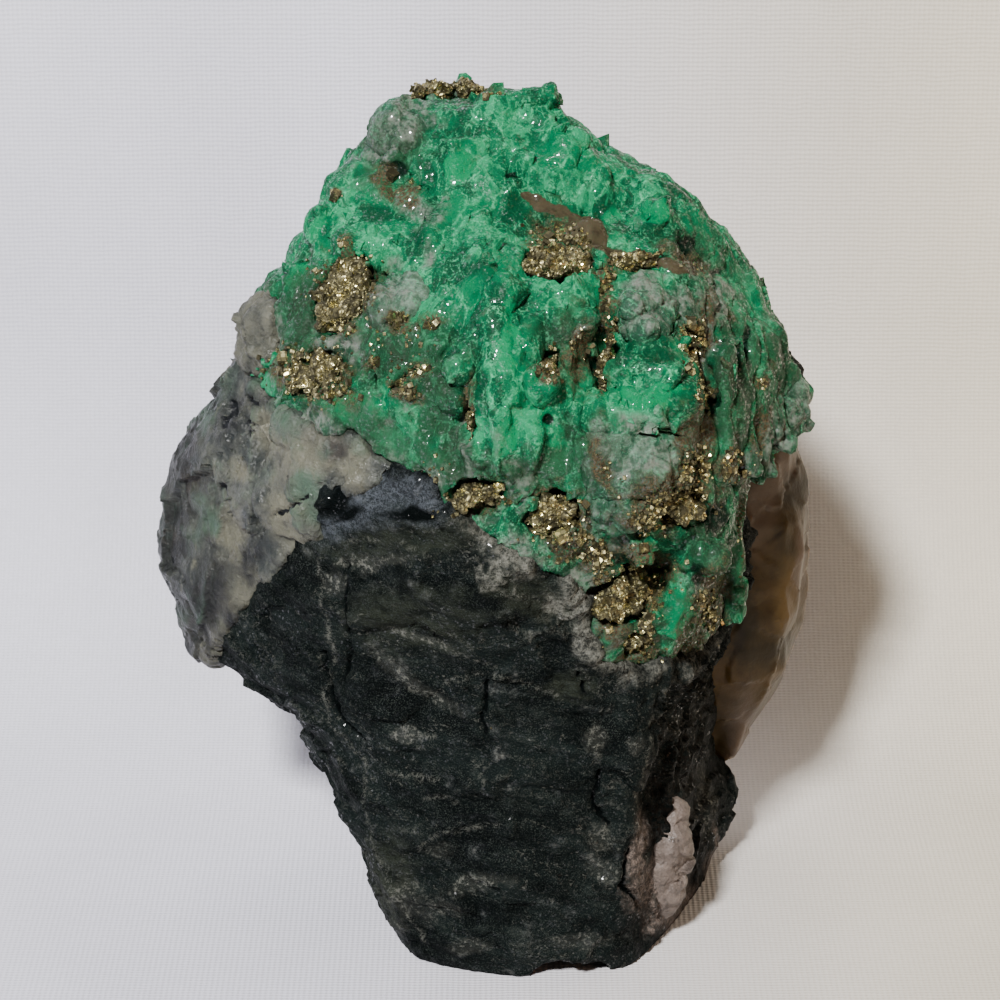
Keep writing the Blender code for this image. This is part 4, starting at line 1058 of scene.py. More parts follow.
SHALE_LINES: list[Stroke] = [
    (1.6, [(395, 630), (413, 630), (439, 639), (465, 656), (498, 672)]),
    (1.4, [(407, 734), (415, 739), (439, 737)]), (1.6, [(390, 771), (410, 774), (442, 783)]),
    (1.5, [(429, 794), (455, 802)]), (1.6, [(420, 848), (442, 830), (498, 822)]),
    (1.5, [(322, 558), (324, 610), (335, 662), (325, 691), (332, 727), (361, 766), (368, 799), (371, 838)]),
    (1.2, [(338, 564), (352, 562), (368, 565), (395, 558)]), (1.2, [(351, 541), (381, 539)]),
    (1.4, [(470, 760), (490, 778), (486, 790)]), (1.5, [(596, 725), (590, 745), (604, 762)]),
    (1.6, [(371, 838), (392, 880), (410, 915), (430, 940)]), (1.3, [(500, 590), (540, 600), (575, 625)]),
    (1.4, [(450, 680), (500, 676), (552, 690)]), (1.2, [(660, 690), (648, 720), (640, 760), (633, 810)]),
]
SHALE_CRACKS: list[Stroke] = [
    (2.2, [(485, 685), (486, 714), (491, 737)]), (1.6, [(576, 673), (586, 690)]),
    (2.4, [(598, 773), (595, 805), (612, 825)]), (2.0, [(625, 850), (622, 884), (640, 905)]),
    (2.0, [(322, 655), (333, 700), (360, 745)]), (1.8, [(345, 560), (350, 640), (345, 690)]),
]
SHALE_RIDGES: list[Stroke] = [
    (9, [(330, 560), (360, 530), (430, 512), (500, 530)]),
    (8, [(352, 620), (420, 600), (520, 612), (590, 650)]),
    (9, [(340, 700), (400, 660), (470, 690), (560, 702), (640, 690)]),
    (7, [(380, 735), (430, 745), (500, 730)]), (8, [(390, 780), (450, 790), (540, 770), (600, 790)]),
    (8, [(400, 850), (450, 832), (520, 826), (590, 850)]), (7, [(420, 900), (480, 880), (560, 885)]),
    (9, [(670, 675), (644, 714), (631, 766), (625, 825), (621, 880)]),
    (7, [(340, 760), (372, 800), (380, 860), (400, 920)]),
]

SHOULDER_DARK: list[Stroke] = [
    (1.7, [(226, 488), (227, 500), (232, 514)]), (1.5, [(280, 514), (292, 508), (307, 495)]),
    (3.4, [(232, 400), (230, 412), (228, 426)]), (3.0, [(246, 420), (249, 430), (252, 437)]),
    (1.6, [(262, 402), (252, 396)]),
]
SHOULDER_SMOKE: list[Spot] = [
    (236, 415, 14, 28, 8), (178, 515, 14, 12, 0), (203, 560, 16, 16, 0), (192, 590, 26, 24, 30),
    (180, 545, 18, 10, -20), (168, 560, 10, 26, 0), (240, 618, 14, 18, 0), (262, 400, 16, 8, 30),
    (222, 400, 10, 18, 0), (206, 640, 14, 30, 20), (250, 560, 12, 30, 10), (190, 450, 12, 40, 15),
    (215, 590, 20, 30, 20), (195, 660, 14, 14, 0), (262, 545, 14, 20, 0),
]
SHOULDER_CREAM: list[Spot] = [
    (272, 425, 18, 30, -10), (300, 460, 16, 26, 10), (325, 452, 24, 18, -10), (350, 462, 18, 16, 0),
    (290, 510, 20, 20, 0), (232, 540, 14, 30, -10), (250, 600, 20, 40, -20), (240, 470, 10, 10, 0),
    (215, 640, 14, 26, 20), (295, 530, 20, 16, 30),
]
SHOULDER_BROWN: list[Spot] = [
    (200, 430, 16, 40, 15), (190, 480, 14, 24, 10), (175, 530, 14, 34, 0), (205, 600, 24, 40, 20),
    (335, 448, 12, 10, 0), (195, 640, 12, 20, 0), (212, 520, 10, 20, 0),
]
SHOULDER_GREEN: list[Spot] = [
    (250, 375, 18, 14, 0), (285, 400, 20, 8, 30), (330, 425, 24, 8, 20), (262, 470, 24, 30, 0),
]
BROWN_PINK: list[Spot] = [
    (760, 500, 20, 50, 25), (785, 470, 18, 26, 0), (736, 740, 12, 50, 10), (800, 560, 6, 40, 0),
]
BROWN_DARK: list[Spot] = [
    (795, 490, 14, 24, 20), (770, 650, 30, 12, 0), (745, 610, 10, 60, 0), (790, 640, 12, 8, 0),
]


class Node(Enum):
    """The large CAD nodes that a dense, carved skin replaces."""

    CRUST = "emerald_crust"
    SHALE = "shale_matrix"
    SHOULDER = "calcite_shoulder"
    BROWN = "brown_calcite"


# ---------------------------------------------------------------- sub-assemblies


@dataclass
class Specimen:
    """What every sub-assembly works from: the frame's nodes, its box and the materials."""

    nodes: dict[str, Piece]
    low: Array
    high: Array
    wardrobe: Wardrobe

    def joint(self, places: Array, neighbours: tuple[Node, ...], width: float) -> Array:
        """How near points lie to the joint with other minerals, patchily, from 0 to 1.

        Args:
            places: points in millimetres.
            neighbours: the minerals that are met there.
            width: how far from the joint this fades out, in millimetres.
        """
        ground = Ground([self.nodes[node.value] for node in neighbours])
        away = np.abs(ground.heights_of(places))
        patchy = np.clip(0.8 + 0.7 * waves(places / 2.5, 97, 2), 0, 1)
        return np.clip(1.25 - away / width, 0, 1) * patchy

    def dense(self, name: str, voxel: float, rounding: int = 0) -> tuple[Mesh, Array, Array]:
        """An even, dense copy of a CAD node, in millimetres, with the places and the normals of its points.

        Args:
            name: the node.
            voxel: spacing of the copy's points.
            rounding: how many times its corners are softened.
        """
        mesh = remeshed(merged_copy(self.nodes[name]), voxel, rounding)
        return mesh, *points_of(mesh)

    def seat(self, name: str, mesh: Mesh, material: Material, slot: str, replaces: list[str],
             smooth: bool = True) -> Piece:
        """Makes a piece from a mesh that was shaped in millimetres.

        Args:
            name: the piece's name.
            mesh: its mesh, complete and painted.
            material: what it is dressed in.
            slot: the record's material slot; not used.
            replaces: the CAD nodes that it stands for.
            smooth: whether its faces are shaded as one curved surface.
        """
        piece = new_piece(name, mesh)
        if smooth:
            mesh.shade_smooth()
        places, _ = points_of(mesh)
        set_points(mesh, np.clip(places, self.low, self.high) * MM)
        mesh.materials.clear()
        mesh.materials.append(material)
        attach(piece, "root")
        if replaces:
            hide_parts(*replaces)
        log.info("%s: %d faces", name, len(mesh.polygons))
        return piece


@dataclass
class Crust:
    """The emerald crust: a dense skin in flat-faced grains, with broken chips and prisms grown on it."""

    specimen: Specimen
    voxel: float = 0.318
    swell: float = 0.22  # closes the joints with the neighbouring minerals
    column: float = 1.9  # how much longer than wide the grains are
    lump: float = 3.4  # sizes of the soft lumps, the large grains and the small ones between them
    coarse: float = 2.6
    fine: float = 0.95
    bank: float = 3.2  # how far from the joint with the shale the crust thins out
    seed: int = 5

    def build(self) -> Piece:
        """Makes the skin and its painted layers."""
        mesh, places, normals = self.specimen.dense(Node.CRUST.value, self.voxel)
        skin = Skin(places, normals)
        smooth = np.maximum(1.2 * skin.spots(SLAB), 0.75 * skin.spots(DEEP))
        smooth = np.maximum(smooth, skin.spots(FLUTED))
        joint = self.specimen.joint(places, (Node.SHALE, Node.SHOULDER), self.bank)
        # The crevices and pits that get painted shade are also sunk.
        height = self.swell + self.relief(places, smooth) - 0.7 * skin.spots(DARK_CRYSTALS_AND_CREVICE_SHADE)
        height += 0.2 * skin.spots(SLAB, 0.2)
        height -= 0.35 * skin.strokes(GROOVES) + 0.35 * joint
        set_points(mesh, places + normals * height[:, None])
        layers = crust_layers(skin)
        layers["grey"] = np.maximum(layers["grey"], joint * (0.35 + 0.5 * skin.spots(RIME_REACH)))
        paint(mesh, layers)
        emerald = self.specimen.wardrobe.emerald
        return self.specimen.seat("emerald_crust_skin", mesh, emerald, "emerald", [Node.CRUST.value])

    def relief(self, places: Array, smooth: Array) -> Array:
        """Height of the grown grains: soft lumps, upright crystals with flat tops, and small grains.

        Args:
            places: points in millimetres.
            smooth: how calm the surface is at each, from 0 to 1.
        """
        upright = places / np.array((1, 1, self.column))
        large = Grains.at(upright / self.coarse, self.seed)
        small = Grains.at(upright / self.fine, self.seed + 40)
        height = 0.60 * waves(places / self.lump, 71) + 0.06 * waves(places / 0.8, 91, 2)
        height += 0.30 * (1 - np.exp(-large.edge * 7)) - 0.22
        height += large.facets(upright / self.coarse, 0.8, 0.8) * 0.60
        grain = 0.10 * (1 - np.exp(-small.edge * 7)) - 0.05
        grain += small.facets(upright / self.fine, 0.6, 0.6) * 0.15
        return (height + grain) * (1 - 0.7 * smooth)


def crust_layers(skin: Skin) -> dict[str, Array]:
    """The painted layers that the emerald's material reads."""
    # The dark layer is painted shade in crevices and pits, with a few dark crystals.
    return {"deep": skin.spots(DEEP), "dark": skin.spots(DARK_CRYSTALS_AND_CREVICE_SHADE), "frost": skin.spots(FROST, 0.6),
            "grey": skin.spots(GREY), "stain": np.maximum(skin.spots(STAIN), 0.5 * skin.strokes(GROOVES)),
            "slab": skin.spots(SLAB, 0.15), "glow": skin.spots(GLOW), "dusk": skin.spots(DUSK)}


@dataclass
class Shale:
    """The black shale: broken in low curved ledges, with cracks, on a flat foot."""

    specimen: Specimen
    voxel: float = 0.386
    foot: float = 3.0  # the relief dies out over this height, so that the foot stays flat
    plate: float = 4.2  # sizes of the broken plates and of the chips on them
    chip: float = 1.3
    bank: float = 2.2  # how far the crumbly bank at the crust's edge reaches
    dip: Place = (0.36, 0.25, 0.90)  # the direction in which the curved steps follow each other

    def build(self) -> Piece:
        """Makes the skin and its painted layers."""
        mesh, places, normals = self.specimen.dense(Node.SHALE.value, self.voxel)
        skin = Skin(places, normals, rag=5.0)
        lying = places / np.array((1.7, 1, 1))
        plates, chips = Grains.at(lying / self.plate, 11), Grains.at(lying / self.chip, 12)
        height = 0.12 + 0.22 * waves(places / 4.5, 73, 3)
        height += (plates.facets(lying / self.plate, 0.6, 0.6) * 0.8
                   + chips.facets(lying / self.chip, 0.5, 0.4) * 0.20)
        steps, lip_highlights = self.scallops(places)
        height += steps + 0.30 * skin.strokes(SHALE_RIDGES) - 0.8 * skin.strokes(SHALE_CRACKS)
        joint = self.specimen.joint(places, (Node.CRUST,), self.bank)
        crumbs = 0.6 + 0.25 * waves(places / 0.9, 98, 2) + 0.5 * chips.facets(lying / self.chip, 0.8, 0.8)
        height += joint * crumbs
        height *= np.clip(places[:, 2] / self.foot, 0, 1)
        set_points(mesh, places + normals * height[:, None])
        # The sharp step edges get a painted highlight, and a few bands a painted sheen.
        layers = {"olive_sheen": skin.spots(SHALE_OLIVE_SHEEN), "pale": skin.spots(SHALE_PALE),
                  "rime": np.maximum(skin.spots(SHALE_RIME), joint * skin.spots(RIME_REACH)),
                  "pink": skin.spots(SHALE_PINK), "blue": skin.spots(SHALE_BLUE),
                  "brown": skin.spots(SHALE_BROWN), "line": skin.strokes(SHALE_LINES), "lip": lip_highlights,
                  "crack": skin.strokes(SHALE_CRACKS), "black": skin.spots(SHALE_BLACK)}
        paint(mesh, layers)
        shale = self.specimen.wardrobe.shale
        return self.specimen.seat("shale_matrix_skin", mesh, shale, "shale", [Node.SHALE.value])

    def scallops(self, places: Array) -> tuple[Array, Array]:
        """Shallow curved steps that rise slowly to a sharp edge: the height, and where the sharp edges are,
        which the material paints pale as a painted highlight.
        """
        height, lip_highlights = np.zeros(len(places)), np.zeros(len(places))
        for spacing, drop, seed in ((4.6, 0.55, 75), (1.7, 0.20, 85)):
            rise = places @ np.array(self.dip) / spacing + 0.9 * waves(places / spacing / 1.7, seed, 2)
            ramp = rise - np.floor(rise)
            strength = np.clip(waves(places / spacing / 1.3, seed + 1) * 1.8 + 0.45, 0, 1)
            height += drop * ramp**2 * strength
            lip_highlights = np.maximum(lip_highlights, np.clip((ramp - 0.86) / 0.10, 0, 1) * strength)
        return height, lip_highlights


@dataclass
class PaleCalcite:
    """The grey-white shoulder and the pods that sit in the crust and the shale."""

    specimen: Specimen
    voxel: float = 0.28
    swell: float = 0.25
    block: float = 4.6  # sizes of the shoulder's broken blocks and of the chips on them
    chip: float = 1.4
    bank: float = 2.6  # how far from the joint with the crust the shoulder rises to meet it
    pod_voxel: float = 0.20
    pod_rounding: int = 14
    skirt: float = 1.7  # how far from the crust's surface a pod swells out to meet it

    def shoulder(self) -> Piece:
        """Makes the left shoulder."""
        mesh, places, normals = self.specimen.dense(Node.SHOULDER.value, self.voxel)
        skin = Skin(places, normals, rag=5.0)
        upright = places / np.array((1, 1, 1.6))
        blocks, chips = Grains.at(upright / self.block, 21), Grains.at(places / self.chip, 22)
        height = self.swell + 0.4 * waves(places / 5.0, 74, 2)
        height += (blocks.facets(upright / self.block, 0.9, 0.9) * 1.1
                   + chips.facets(places / self.chip, 0.5, 0.5) * 0.35)
        joint = self.specimen.joint(places, (Node.CRUST,), self.bank)
        height += 0.7 * joint - 0.55 * skin.strokes(SHOULDER_DARK)
        set_points(mesh, places + normals * height[:, None])
        paint(mesh, {"cream": skin.spots(SHOULDER_CREAM), "brown": skin.spots(SHOULDER_BROWN),
                     "smoke": skin.spots(SHOULDER_SMOKE), "dark": skin.strokes(SHOULDER_DARK),
                     "green": np.maximum(0.25 * skin.spots(SHOULDER_GREEN), 0.55 * joint)})
        calcite = self.specimen.wardrobe.calcite
        return self.specimen.seat("calcite_shoulder_skin", mesh, calcite, "calcite", [Node.SHOULDER.value])

    def pod(self, name: str, crust: Crust, ground: Ground) -> Piece:
        """Makes one small calcite body from its CAD node, greener where it meets the emerald.

        Args:
            name: the node.
            crust: gives the relief of what the pod grew in.
            ground: the rock around the pod.
        """
        wardrobe = self.specimen.wardrobe
        mesh, places, normals = self.specimen.dense(name, self.pod_voxel, self.pod_rounding)
        plain = np.zeros(len(places))
        sunk = 1 - np.abs(ground.heights_of(places)) / self.skirt
        swell = 0.38 + 0.8 * np.clip(sunk, 0, 1)
        places += normals * (swell + 0.9 * crust.relief(places, plain))[:, None]
        set_points(mesh, places)
        if "foot" in name or "left_edge" in name:
            layers = dict.fromkeys(("dark", "smoke", "green"), plain)
            layers |= {"cream": plain + 0.5, "brown": plain + 0.1}
            material = wardrobe.rosy if "foot" in name else wardrobe.calcite
        else:
            layers = crust_layers(Skin(places, normals))
            layers["grey"] = np.clip(0.1 + 0.3 * layers["grey"] + ground.heights_of(places) / 4.0, 0, 0.7)
            layers["deep"] *= 0.3
            layers["dark"] = plain
            material = wardrobe.veiled
        paint(mesh, layers)
        return self.specimen.seat(name + "_body", mesh, material, "calcite", [name])


@dataclass
class BrownCalcite:
    """The smoky brown calcite behind the right side."""

    specimen: Specimen
    voxel: float = 0.30
    block: float = 4.0  # sizes of its broken blocks and of the chips on them
    chip: float = 1.2

    def build(self) -> Piece:
        """Makes the skin and its painted layers."""
        mesh, places, normals = self.specimen.dense(Node.BROWN.value, self.voxel)
        skin = Skin(places, normals, rag=5.0)
        blocks, chips = Grains.at(places / self.block, 31), Grains.at(places / self.chip, 32)
        height = 0.1 + blocks.facets(places / self.block, 0.6, 0.5) * 0.45
        height += chips.facets(places / self.chip, 0.5, 0.4) * 0.05
        set_points(mesh, places + normals * height[:, None])
        paint(mesh, {"pink": skin.spots(BROWN_PINK), "dark": skin.spots(BROWN_DARK)})
        brown = self.specimen.wardrobe.brown
        return self.specimen.seat("brown_calcite_skin", mesh, brown, "brown_calcite", [Node.BROWN.value])


@dataclass
class Ground:
    """The rock's finished surface in millimetres, for small things to be set on."""

    pieces: list[Piece]
    tree: BVHTree = field(init=False)

    def __post_init__(self) -> None:
        """Builds the search tree."""
        bm = bmesh.new()
        for piece in self.pieces:
            bm.from_mesh(piece.data)
        bmesh.ops.scale(bm, vec=(1 / MM,) * 3, verts=bm.verts)
        self.tree = BVHTree.FromBMesh(bm)
        bm.free()

    def seen_at(self, x: float, y: float) -> tuple[Vector | None, Vector | None]:
        """Where the line of sight through a picture place meets the rock, and which way the rock faces."""
        place, normal, _, _ = self.tree.ray_cast(Vector(EYE.place), EYE.ray(x, y))
        return place, normal

    def heights_of(self, places: Array) -> Array:
        """How far points lie outside the rock's nearest face, in millimetres."""
        heights = []
        for place in map(Vector, places):
            nearest, normal, _, _ = self.tree.find_nearest(place)
            heights.append((place - nearest).dot(normal))
        return np.array(heights)

    def is_outside(self, place: Vector, normal: Vector, clearance: float = 2.0) -> bool:
        """Whether nothing of the rock stands right in front of a point."""
        return self.tree.ray_cast(place + normal * 0.15, normal, clearance)[0] is None


def upright_turn(normal: Vector, lean: float, tip_out: float, roll: float) -> Matrix:
    """A turn that stands a shape's Z axis up along the rock's face.

    Args:
        normal: which way the rock faces.
        lean: degrees to the right of upright.
        tip_out: degrees out of the face.
        roll: degrees about the shape's own axis.
    """
    up = Vector((0, 0.001, 1)) - normal * normal.z
    up.normalize()
    side = up.cross(normal)
    axis = up * math.cos(math.radians(lean)) - side * math.sin(math.radians(lean))
    axis = axis * math.cos(math.radians(tip_out)) + normal * math.sin(math.radians(tip_out))
    return axis.to_track_quat("Z", "Y").to_matrix().to_4x4() @ Matrix.Rotation(math.radians(roll), 4, "Z")


@dataclass
class Chips:
    """Sharp broken grains of emerald that stand a little out of the crust."""

    specimen: Specimen
    ground: Ground
    crust: Piece
    count: int = 520
    spacing: float = 1.5
    shapes: int = 26
    sunk: float = 0.45  # share of its width that a crystal lies below the surface
    fan: float = 0.9  # degrees of lean for each millimetre away from the middle of the fan
    fan_from: float = 0.0
    edge_on: float = 0.28  # none where the crust is seen more nearly edge-on than this
    largest: float = 1.9
    calm_from: float = 11.0  # to the right of this the crystals are small
    calm_size: float = 1.1
    none_from: float = 22.5
    bank: float = 2.4  # none this near to the joint with the shale
    seed: int = 8

    @staticmethod
    def shape(rng: random.Random) -> Mesh:
        """One broken beryl crystal: a six-sided prism, about one unit across, snapped across both ends."""
        bm = bmesh.new()
        length = rng.uniform(1.3, 3.2)
        taper = rng.uniform(0.85, 1.0)
        bmesh.ops.create_cone(bm, cap_ends=True, segments=6, radius1=0.5, radius2=0.5 * taper, depth=length)
        bmesh.ops.scale(bm, vec=(rng.uniform(0.8, 1.2), rng.uniform(0.6, 1.1), 1), verts=bm.verts)
        for end in (1, -1, 1):
            slant = Vector((rng.gauss(0, 0.55), rng.gauss(0, 0.55), end)).normalized()
            x, y = rng.uniform(-0.2, 0.2), rng.uniform(-0.2, 0.2)
            where = Vector((x, y, end * length * rng.uniform(0.18, 0.42)))
            everything = [*bm.verts, *bm.edges, *bm.faces]
            bmesh.ops.bisect_plane(bm, geom=everything, plane_co=where, plane_no=slant, clear_outer=True)
            open_edges = [edge for edge in bm.edges if edge.is_boundary]
            bmesh.ops.contextual_create(bm, geom=open_edges)
        bmesh.ops.bevel(bm, geom=list(bm.edges), offset=0.035, offset_type="OFFSET", segments=1,
                        profile=0.5, affect="EDGES", material=-1)
        mesh = bpy.data.meshes.new("chip")
        bm.to_mesh(mesh)
        bm.free()
        return mesh

    def spread(self, rng: np.random.Generator) -> list[tuple[Vector, Vector]]:
        """Places on the crust's outside, none nearer to another than the spacing."""
        mesh = self.crust.data
        areas, centres, normals = (np.empty(len(mesh.polygons) * k) for k in (1, 3, 3))
        mesh.polygons.foreach_get("area", areas)
        mesh.polygons.foreach_get("center", centres)
        mesh.polygons.foreach_get("normal", normals)
        centres, normals = centres.reshape(-1, 3) / MM, normals.reshape(-1, 3)
        chosen: list[tuple[Vector, Vector]] = []
        taken: set[tuple[int, ...]] = set()
        for index in rng.choice(len(areas), size=self.count * 5, p=areas / areas.sum()):
            place, normal = Vector(centres[index]), Vector(normals[index])
            cell = tuple(int(math.floor(c / self.spacing)) for c in place)
            if cell in taken or not self.ground.is_outside(place, normal):
                continue
            taken.add(cell)
            chosen.append((place, normal))
            if len(chosen) == self.count:
                break
        return chosen

    def build(self) -> Piece:
        """Makes the chips as one piece."""
        rng = random.Random(self.seed)
        shapes = [self.shape(rng) for _ in range(self.shapes)]
        chosen = self.spread(np.random.default_rng(self.seed))
        points, normals = (np.array([pair[k] for pair in chosen]) for k in (0, 1))
        skin = Skin(points, normals)
        layers = crust_layers(skin)
        joint = self.specimen.joint(points, (Node.SHALE, Node.SHOULDER), self.bank)
        joined = Joined(tuple(layers))
        for i, (place, normal) in enumerate(chosen):
            if abs(normal.dot((Vector(EYE.place) - place).normalized())) < self.edge_on or joint[i] > 0.5:
                continue
            if place.x > self.none_from:
                continue
            covered = layers["slab"][i] + layers["stain"][i] * 0.7
            if covered > rng.random():
                continue
            size = 1.25 * math.exp(rng.gauss(0, 0.40)) * (1.35 if layers["deep"][i] > 0.5 else 1.0)
            size = min(size, self.calm_size if place.x > self.calm_from else self.largest)
            fan = (place.x - self.fan_from) * self.fan
            turn = upright_turn(normal, rng.gauss(fan, 14), rng.gauss(4, 8), rng.uniform(0, 360))
            matrix = Matrix.Translation(place - normal * size * self.sunk) @ turn @ Matrix.Scale(size, 4)
            joined.add(rng.choice(shapes), matrix, tuple(float(layer[i]) for layer in layers.values()))
        mesh = joined.mesh("emerald_chips")
        emerald = self.specimen.wardrobe.emerald
        return self.specimen.seat("emerald_chips", mesh, emerald, "emerald", [], smooth=False)


@dataclass
class Pyrite:
    """Pyrite: rough cluster bodies from the CAD, and small cubes strewn over and between them."""

    specimen: Specimen
    ground: Ground
    seed: int = 14
    voxel: float = 0.14
    grain: float = 0.7  # sizes of a cluster's large and small crystals
    fine: float = 0.33
    crowding: float = 13.0  # cubes for each square millimetre of a patch, and their usual side
    side: float = 0.23
    fleck_crowding: float = 1.6  # the same, for the flecks strewn between the clusters
    fleck_side: float = 0.18

    def cluster(self, name: str, seed: int) -> Piece:
        """Makes one rough cluster body from its CAD node."""
        mesh, places, normals = self.specimen.dense(name, self.voxel)
        grains, fine = Grains.at(places / self.grain, seed), Grains.at(places / self.fine, seed + 1)
        height = 0.45 * waves(places / 1.6, seed + 2, 2) - 0.15
        height += (grains.facets(places / self.grain, 0.6, 0.8) * 0.36
                   + fine.facets(places / self.fine, 0.6, 0.7) * 0.18)
        set_points(mesh, places + normals * height[:, None])
        paint(mesh, {"tarnish": 0.25 + 0.6 * grains.chance})
        pyrite = self.specimen.wardrobe.pyrite
        return self.specimen.seat(name + "_body", mesh, pyrite, "pyrite", [name], smooth=False)

    def cubes(self) -> Piece:
        """Makes the strewn cubes as one piece."""
        rng = random.Random(self.seed)
        bm = bmesh.new()
        bmesh.ops.create_cube(bm, size=1.0)
        cube = bpy.data.meshes.new("cube")
        bm.to_mesh(cube)
        bm.free()
        joined = Joined(("tarnish",))
        for spot in PYRITE:
            self.strew(joined, cube, spot, self.crowding, self.side, rng)
        for spot in PYRITE_FLECKS:
            self.strew(joined, cube, spot, self.fleck_crowding, self.fleck_side, rng)
        mesh = joined.mesh("pyrite_cubes")
        pyrite = self.specimen.wardrobe.pyrite
        return self.specimen.seat("pyrite_cubes", mesh, pyrite, "pyrite", [], smooth=False)

    def strew(self, joined: Joined, cube: Mesh, spot: Spot, crowding: float, usual: float,
              rng: random.Random) -> None:
        """Strews cubes over one patch.

        Args:
            joined: what they are added to.
            cube: a cube of side 1.
            spot: the patch.
            crowding: cubes for each square millimetre.
            usual: their usual side.
            rng: where the chances come from.
        """
        x, y, half_width, half_height, turn = spot
        c, s = math.cos(math.radians(turn)), math.sin(math.radians(turn))
        pixel_area = (EYE.reach * 2 / PICTURE) ** 2
        count = int(math.pi * half_width * half_height * pixel_area * crowding) + 1
        for _ in range(count):
            angle, out = rng.uniform(0, 2 * math.pi), math.sqrt(rng.random()) * rng.uniform(0.7, 1.3)
            dx, dy = math.cos(angle) * out * half_width, math.sin(angle) * out * half_height
            place, normal = self.ground.seen_at(x + dx * c - dy * s, y + dx * s + dy * c)
            if place is None:
                continue
            side = usual * math.exp(rng.gauss(0, 0.42))
            tumble = Euler((rng.uniform(0, 6), rng.uniform(0, 6), rng.uniform(0, 6))).to_matrix().to_4x4()
            shape = Matrix.Diagonal((side, side * rng.uniform(0.7, 1.3), side * rng.uniform(0.6, 1.2), 1))
            matrix = Matrix.Translation(place + normal * side * rng.uniform(-0.2, 0.35)) @ tumble @ shape
            joined.add(cube, matrix, (rng.uniform(0, 0.95),))


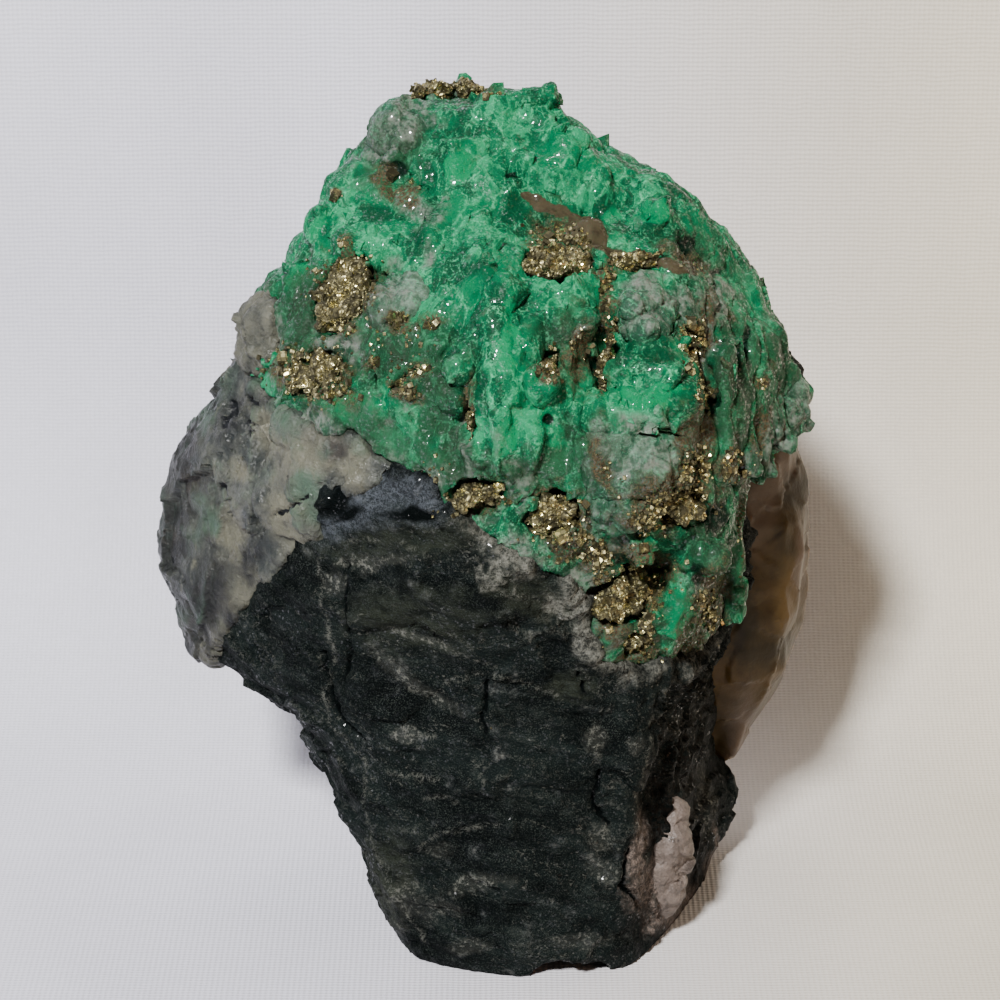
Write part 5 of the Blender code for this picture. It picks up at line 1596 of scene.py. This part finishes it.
@dataclass(frozen=True)
class Studio:
    """A pale cloth that sweeps up close behind, a key light from the left and a weak warm fill.

    The cloth is seen from its front only, so that a camera behind it sees the specimen's back.

    Attributes:
        cool: the cloth's colour at its left, bluish, a painted cool light from that side.
        warm: the cloth's colour at its right, a painted warm lamp light from that side.
        back: where the cloth starts to sweep up, in metres.
        rise: radius of the sweep.
        top: how high the cloth goes.
        front: how far it reaches towards the camera.
        half_width: how far it reaches to each side.
        thread: spacing of the cloth's threads.
        aim: the point that the lights face.
        key: where the key light stands.
        fill: where the fill light stands.
    """

    cool: Colour = (0.62, 0.62, 0.69)
    warm: Colour = (0.60, 0.55, 0.45)
    back: float = 0.018
    rise: float = 0.040
    top: float = 1.4
    front: float = 1.2
    half_width: float = 1.3
    thread: float = 0.00050
    aim: Place = (0, 0, 0.04)
    key: Place = (-0.195, -0.67, 0.60)
    fill: Place = (0.50, -0.35, 0.30)

    def sheet(self) -> Mesh:
        """The floor and the backdrop as one curved sheet, its front face upwards."""
        bm = bmesh.new()
        turns = [math.radians(9 * k) for k in range(1, 11)]
        line = [(-self.front, 0.0), (self.back, 0.0)]
        line += [(self.back + self.rise * math.sin(a), self.rise * (1 - math.cos(a))) for a in turns]
        line += [(self.back + self.rise, self.top)]
        row = [bm.verts.new((-self.half_width, y, z)) for y, z in line]
        edges = [bm.edges.new(pair) for pair in zip(row, row[1:])]
        wide = bmesh.ops.extrude_edge_only(bm, edges=edges)["geom"]
        moved = [v for v in wide if isinstance(v, bmesh.types.BMVert)]
        bmesh.ops.translate(bm, vec=(self.half_width * 2, 0, 0), verts=moved)
        bm.normal_update()
        bm.faces.ensure_lookup_table()
        if bm.faces[0].normal.z < 0:
            bmesh.ops.reverse_faces(bm, faces=bm.faces)
        mesh = bpy.data.meshes.new("floor")
        bm.to_mesh(mesh)
        bm.free()
        mesh.shade_smooth()
        return mesh

    def cloth(self) -> Material:
        """The cloth's material: painted cool light at the left and painted warm lamp light at the right,
        painted shade of soft folds, and fine threads.
        """
        material, t, shader = Finish("floor").shader()
        x, y, z = t.add("SeparateXYZ", {0: t.place()}).outputs
        # Painted light: bluish at the left and warm at the right, standing in for a cool light and a warm
        # lamp.
        tint = t.mix(t.span(x, -0.02, 0.06), self.cool, self.warm)
        along = t.times(t.plus(y, z), 2 * math.pi / self.thread)
        weft = t.math("SINE", t.plus(along, t.times(t.noise(3.0, 2.0), 6.0)))
        warp = t.math("SINE", t.times(x, 2 * math.pi / self.thread))
        # Painted shade of soft folds, with fine mottling and the threads, scales the cloth's colour.
        fold_shade, dirt = t.noise(26.0, 2.0, 0.5, (1, 1.2, 2.6)), t.noise(1.2, 3.0, 0.7)
        shade = t.blend((fold_shade, 0.30), (dirt, 0.10), (weft, 0.022), (warp, 0.014))
        t.feed(shader.inputs["Base Color"], t.scaled(tint, t.plus(0.80, shade)))
        threads = t.add("Bump", {"Height": t.plus(weft, warp), "Distance": 0.02 * MM})
        t.feed(shader.inputs["Normal"], threads.outputs[0])
        t.feed(shader.inputs["Alpha"], t.math("SUBTRACT", 1.0, t.add("NewGeometry").outputs["Backfacing"]))
        Finish.dial(shader, {"Roughness": 0.9, "Specular IOR Level": 0.2})
        return material

    def light(self, name: str, place: Place, size: float, power: float, colour: Colour) -> None:
        """Adds a square area light.

        Args:
            name: the light's name.
            place: where it stands, in metres.
            size: its side.
            power: in watts.
            colour: its tint.
        """
        data = bpy.data.lights.new(name, "AREA")
        data.size, data.energy, data.color = size, power, colour
        lamp = bpy.data.objects.new(name, data)
        lamp.location = place
        lamp.rotation_euler = (Vector(self.aim) - Vector(place)).to_track_quat("-Z", "Y").to_euler()
        bpy.context.scene.collection.objects.link(lamp)

    def build(self) -> None:
        """Makes the stage."""
        floor = new_piece("floor", self.sheet())
        floor.data.materials.append(self.cloth())
        floor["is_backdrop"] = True
        self.light("key", self.key, 0.09, 19.0, (1.0, 0.99, 0.98))
        self.light("fill", self.fill, 0.40, 0.50, (1.0, 0.56, 0.34))
        world = bpy.data.worlds.new("world")
        world.use_nodes = True
        background = world.node_tree.nodes["Background"]
        background.inputs["Color"].default_value = (0.97, 0.94, 0.94, 1)
        background.inputs["Strength"].default_value = 0.04
        bpy.context.scene.world = world


def main() -> None:
    """Builds every sub-assembly in order."""
    logging.basicConfig(level=logging.INFO, format="%(name)s %(message)s")
    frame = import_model()
    cad = [list(corner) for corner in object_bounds()]
    specimen = Specimen(frame["nodes"], np.array(cad[0]) / MM, np.array(cad[1]) / MM, Wardrobe())

    growth = Crust(specimen)
    crust = growth.build()
    calcite = PaleCalcite(specimen)
    hosts = [crust, Shale(specimen).build(), calcite.shoulder(), BrownCalcite(specimen).build()]
    bare = Ground(hosts)
    names = sorted(frame["nodes"])
    pods = [name for name in names if name.startswith("calcite_") and name != Node.SHOULDER.value]
    hosts += [calcite.pod(name, growth, bare) for name in pods]
    ground = Ground(hosts)
    Chips(specimen, ground, crust).build()
    pyrite = Pyrite(specimen, ground)
    for seed, name in enumerate((name for name in names if name.startswith("pyrite_")), 80):
        pyrite.cluster(name, seed)
    pyrite.cubes()

    Studio().build()
    EYE.build()


if __name__ == "__main__":
    main()
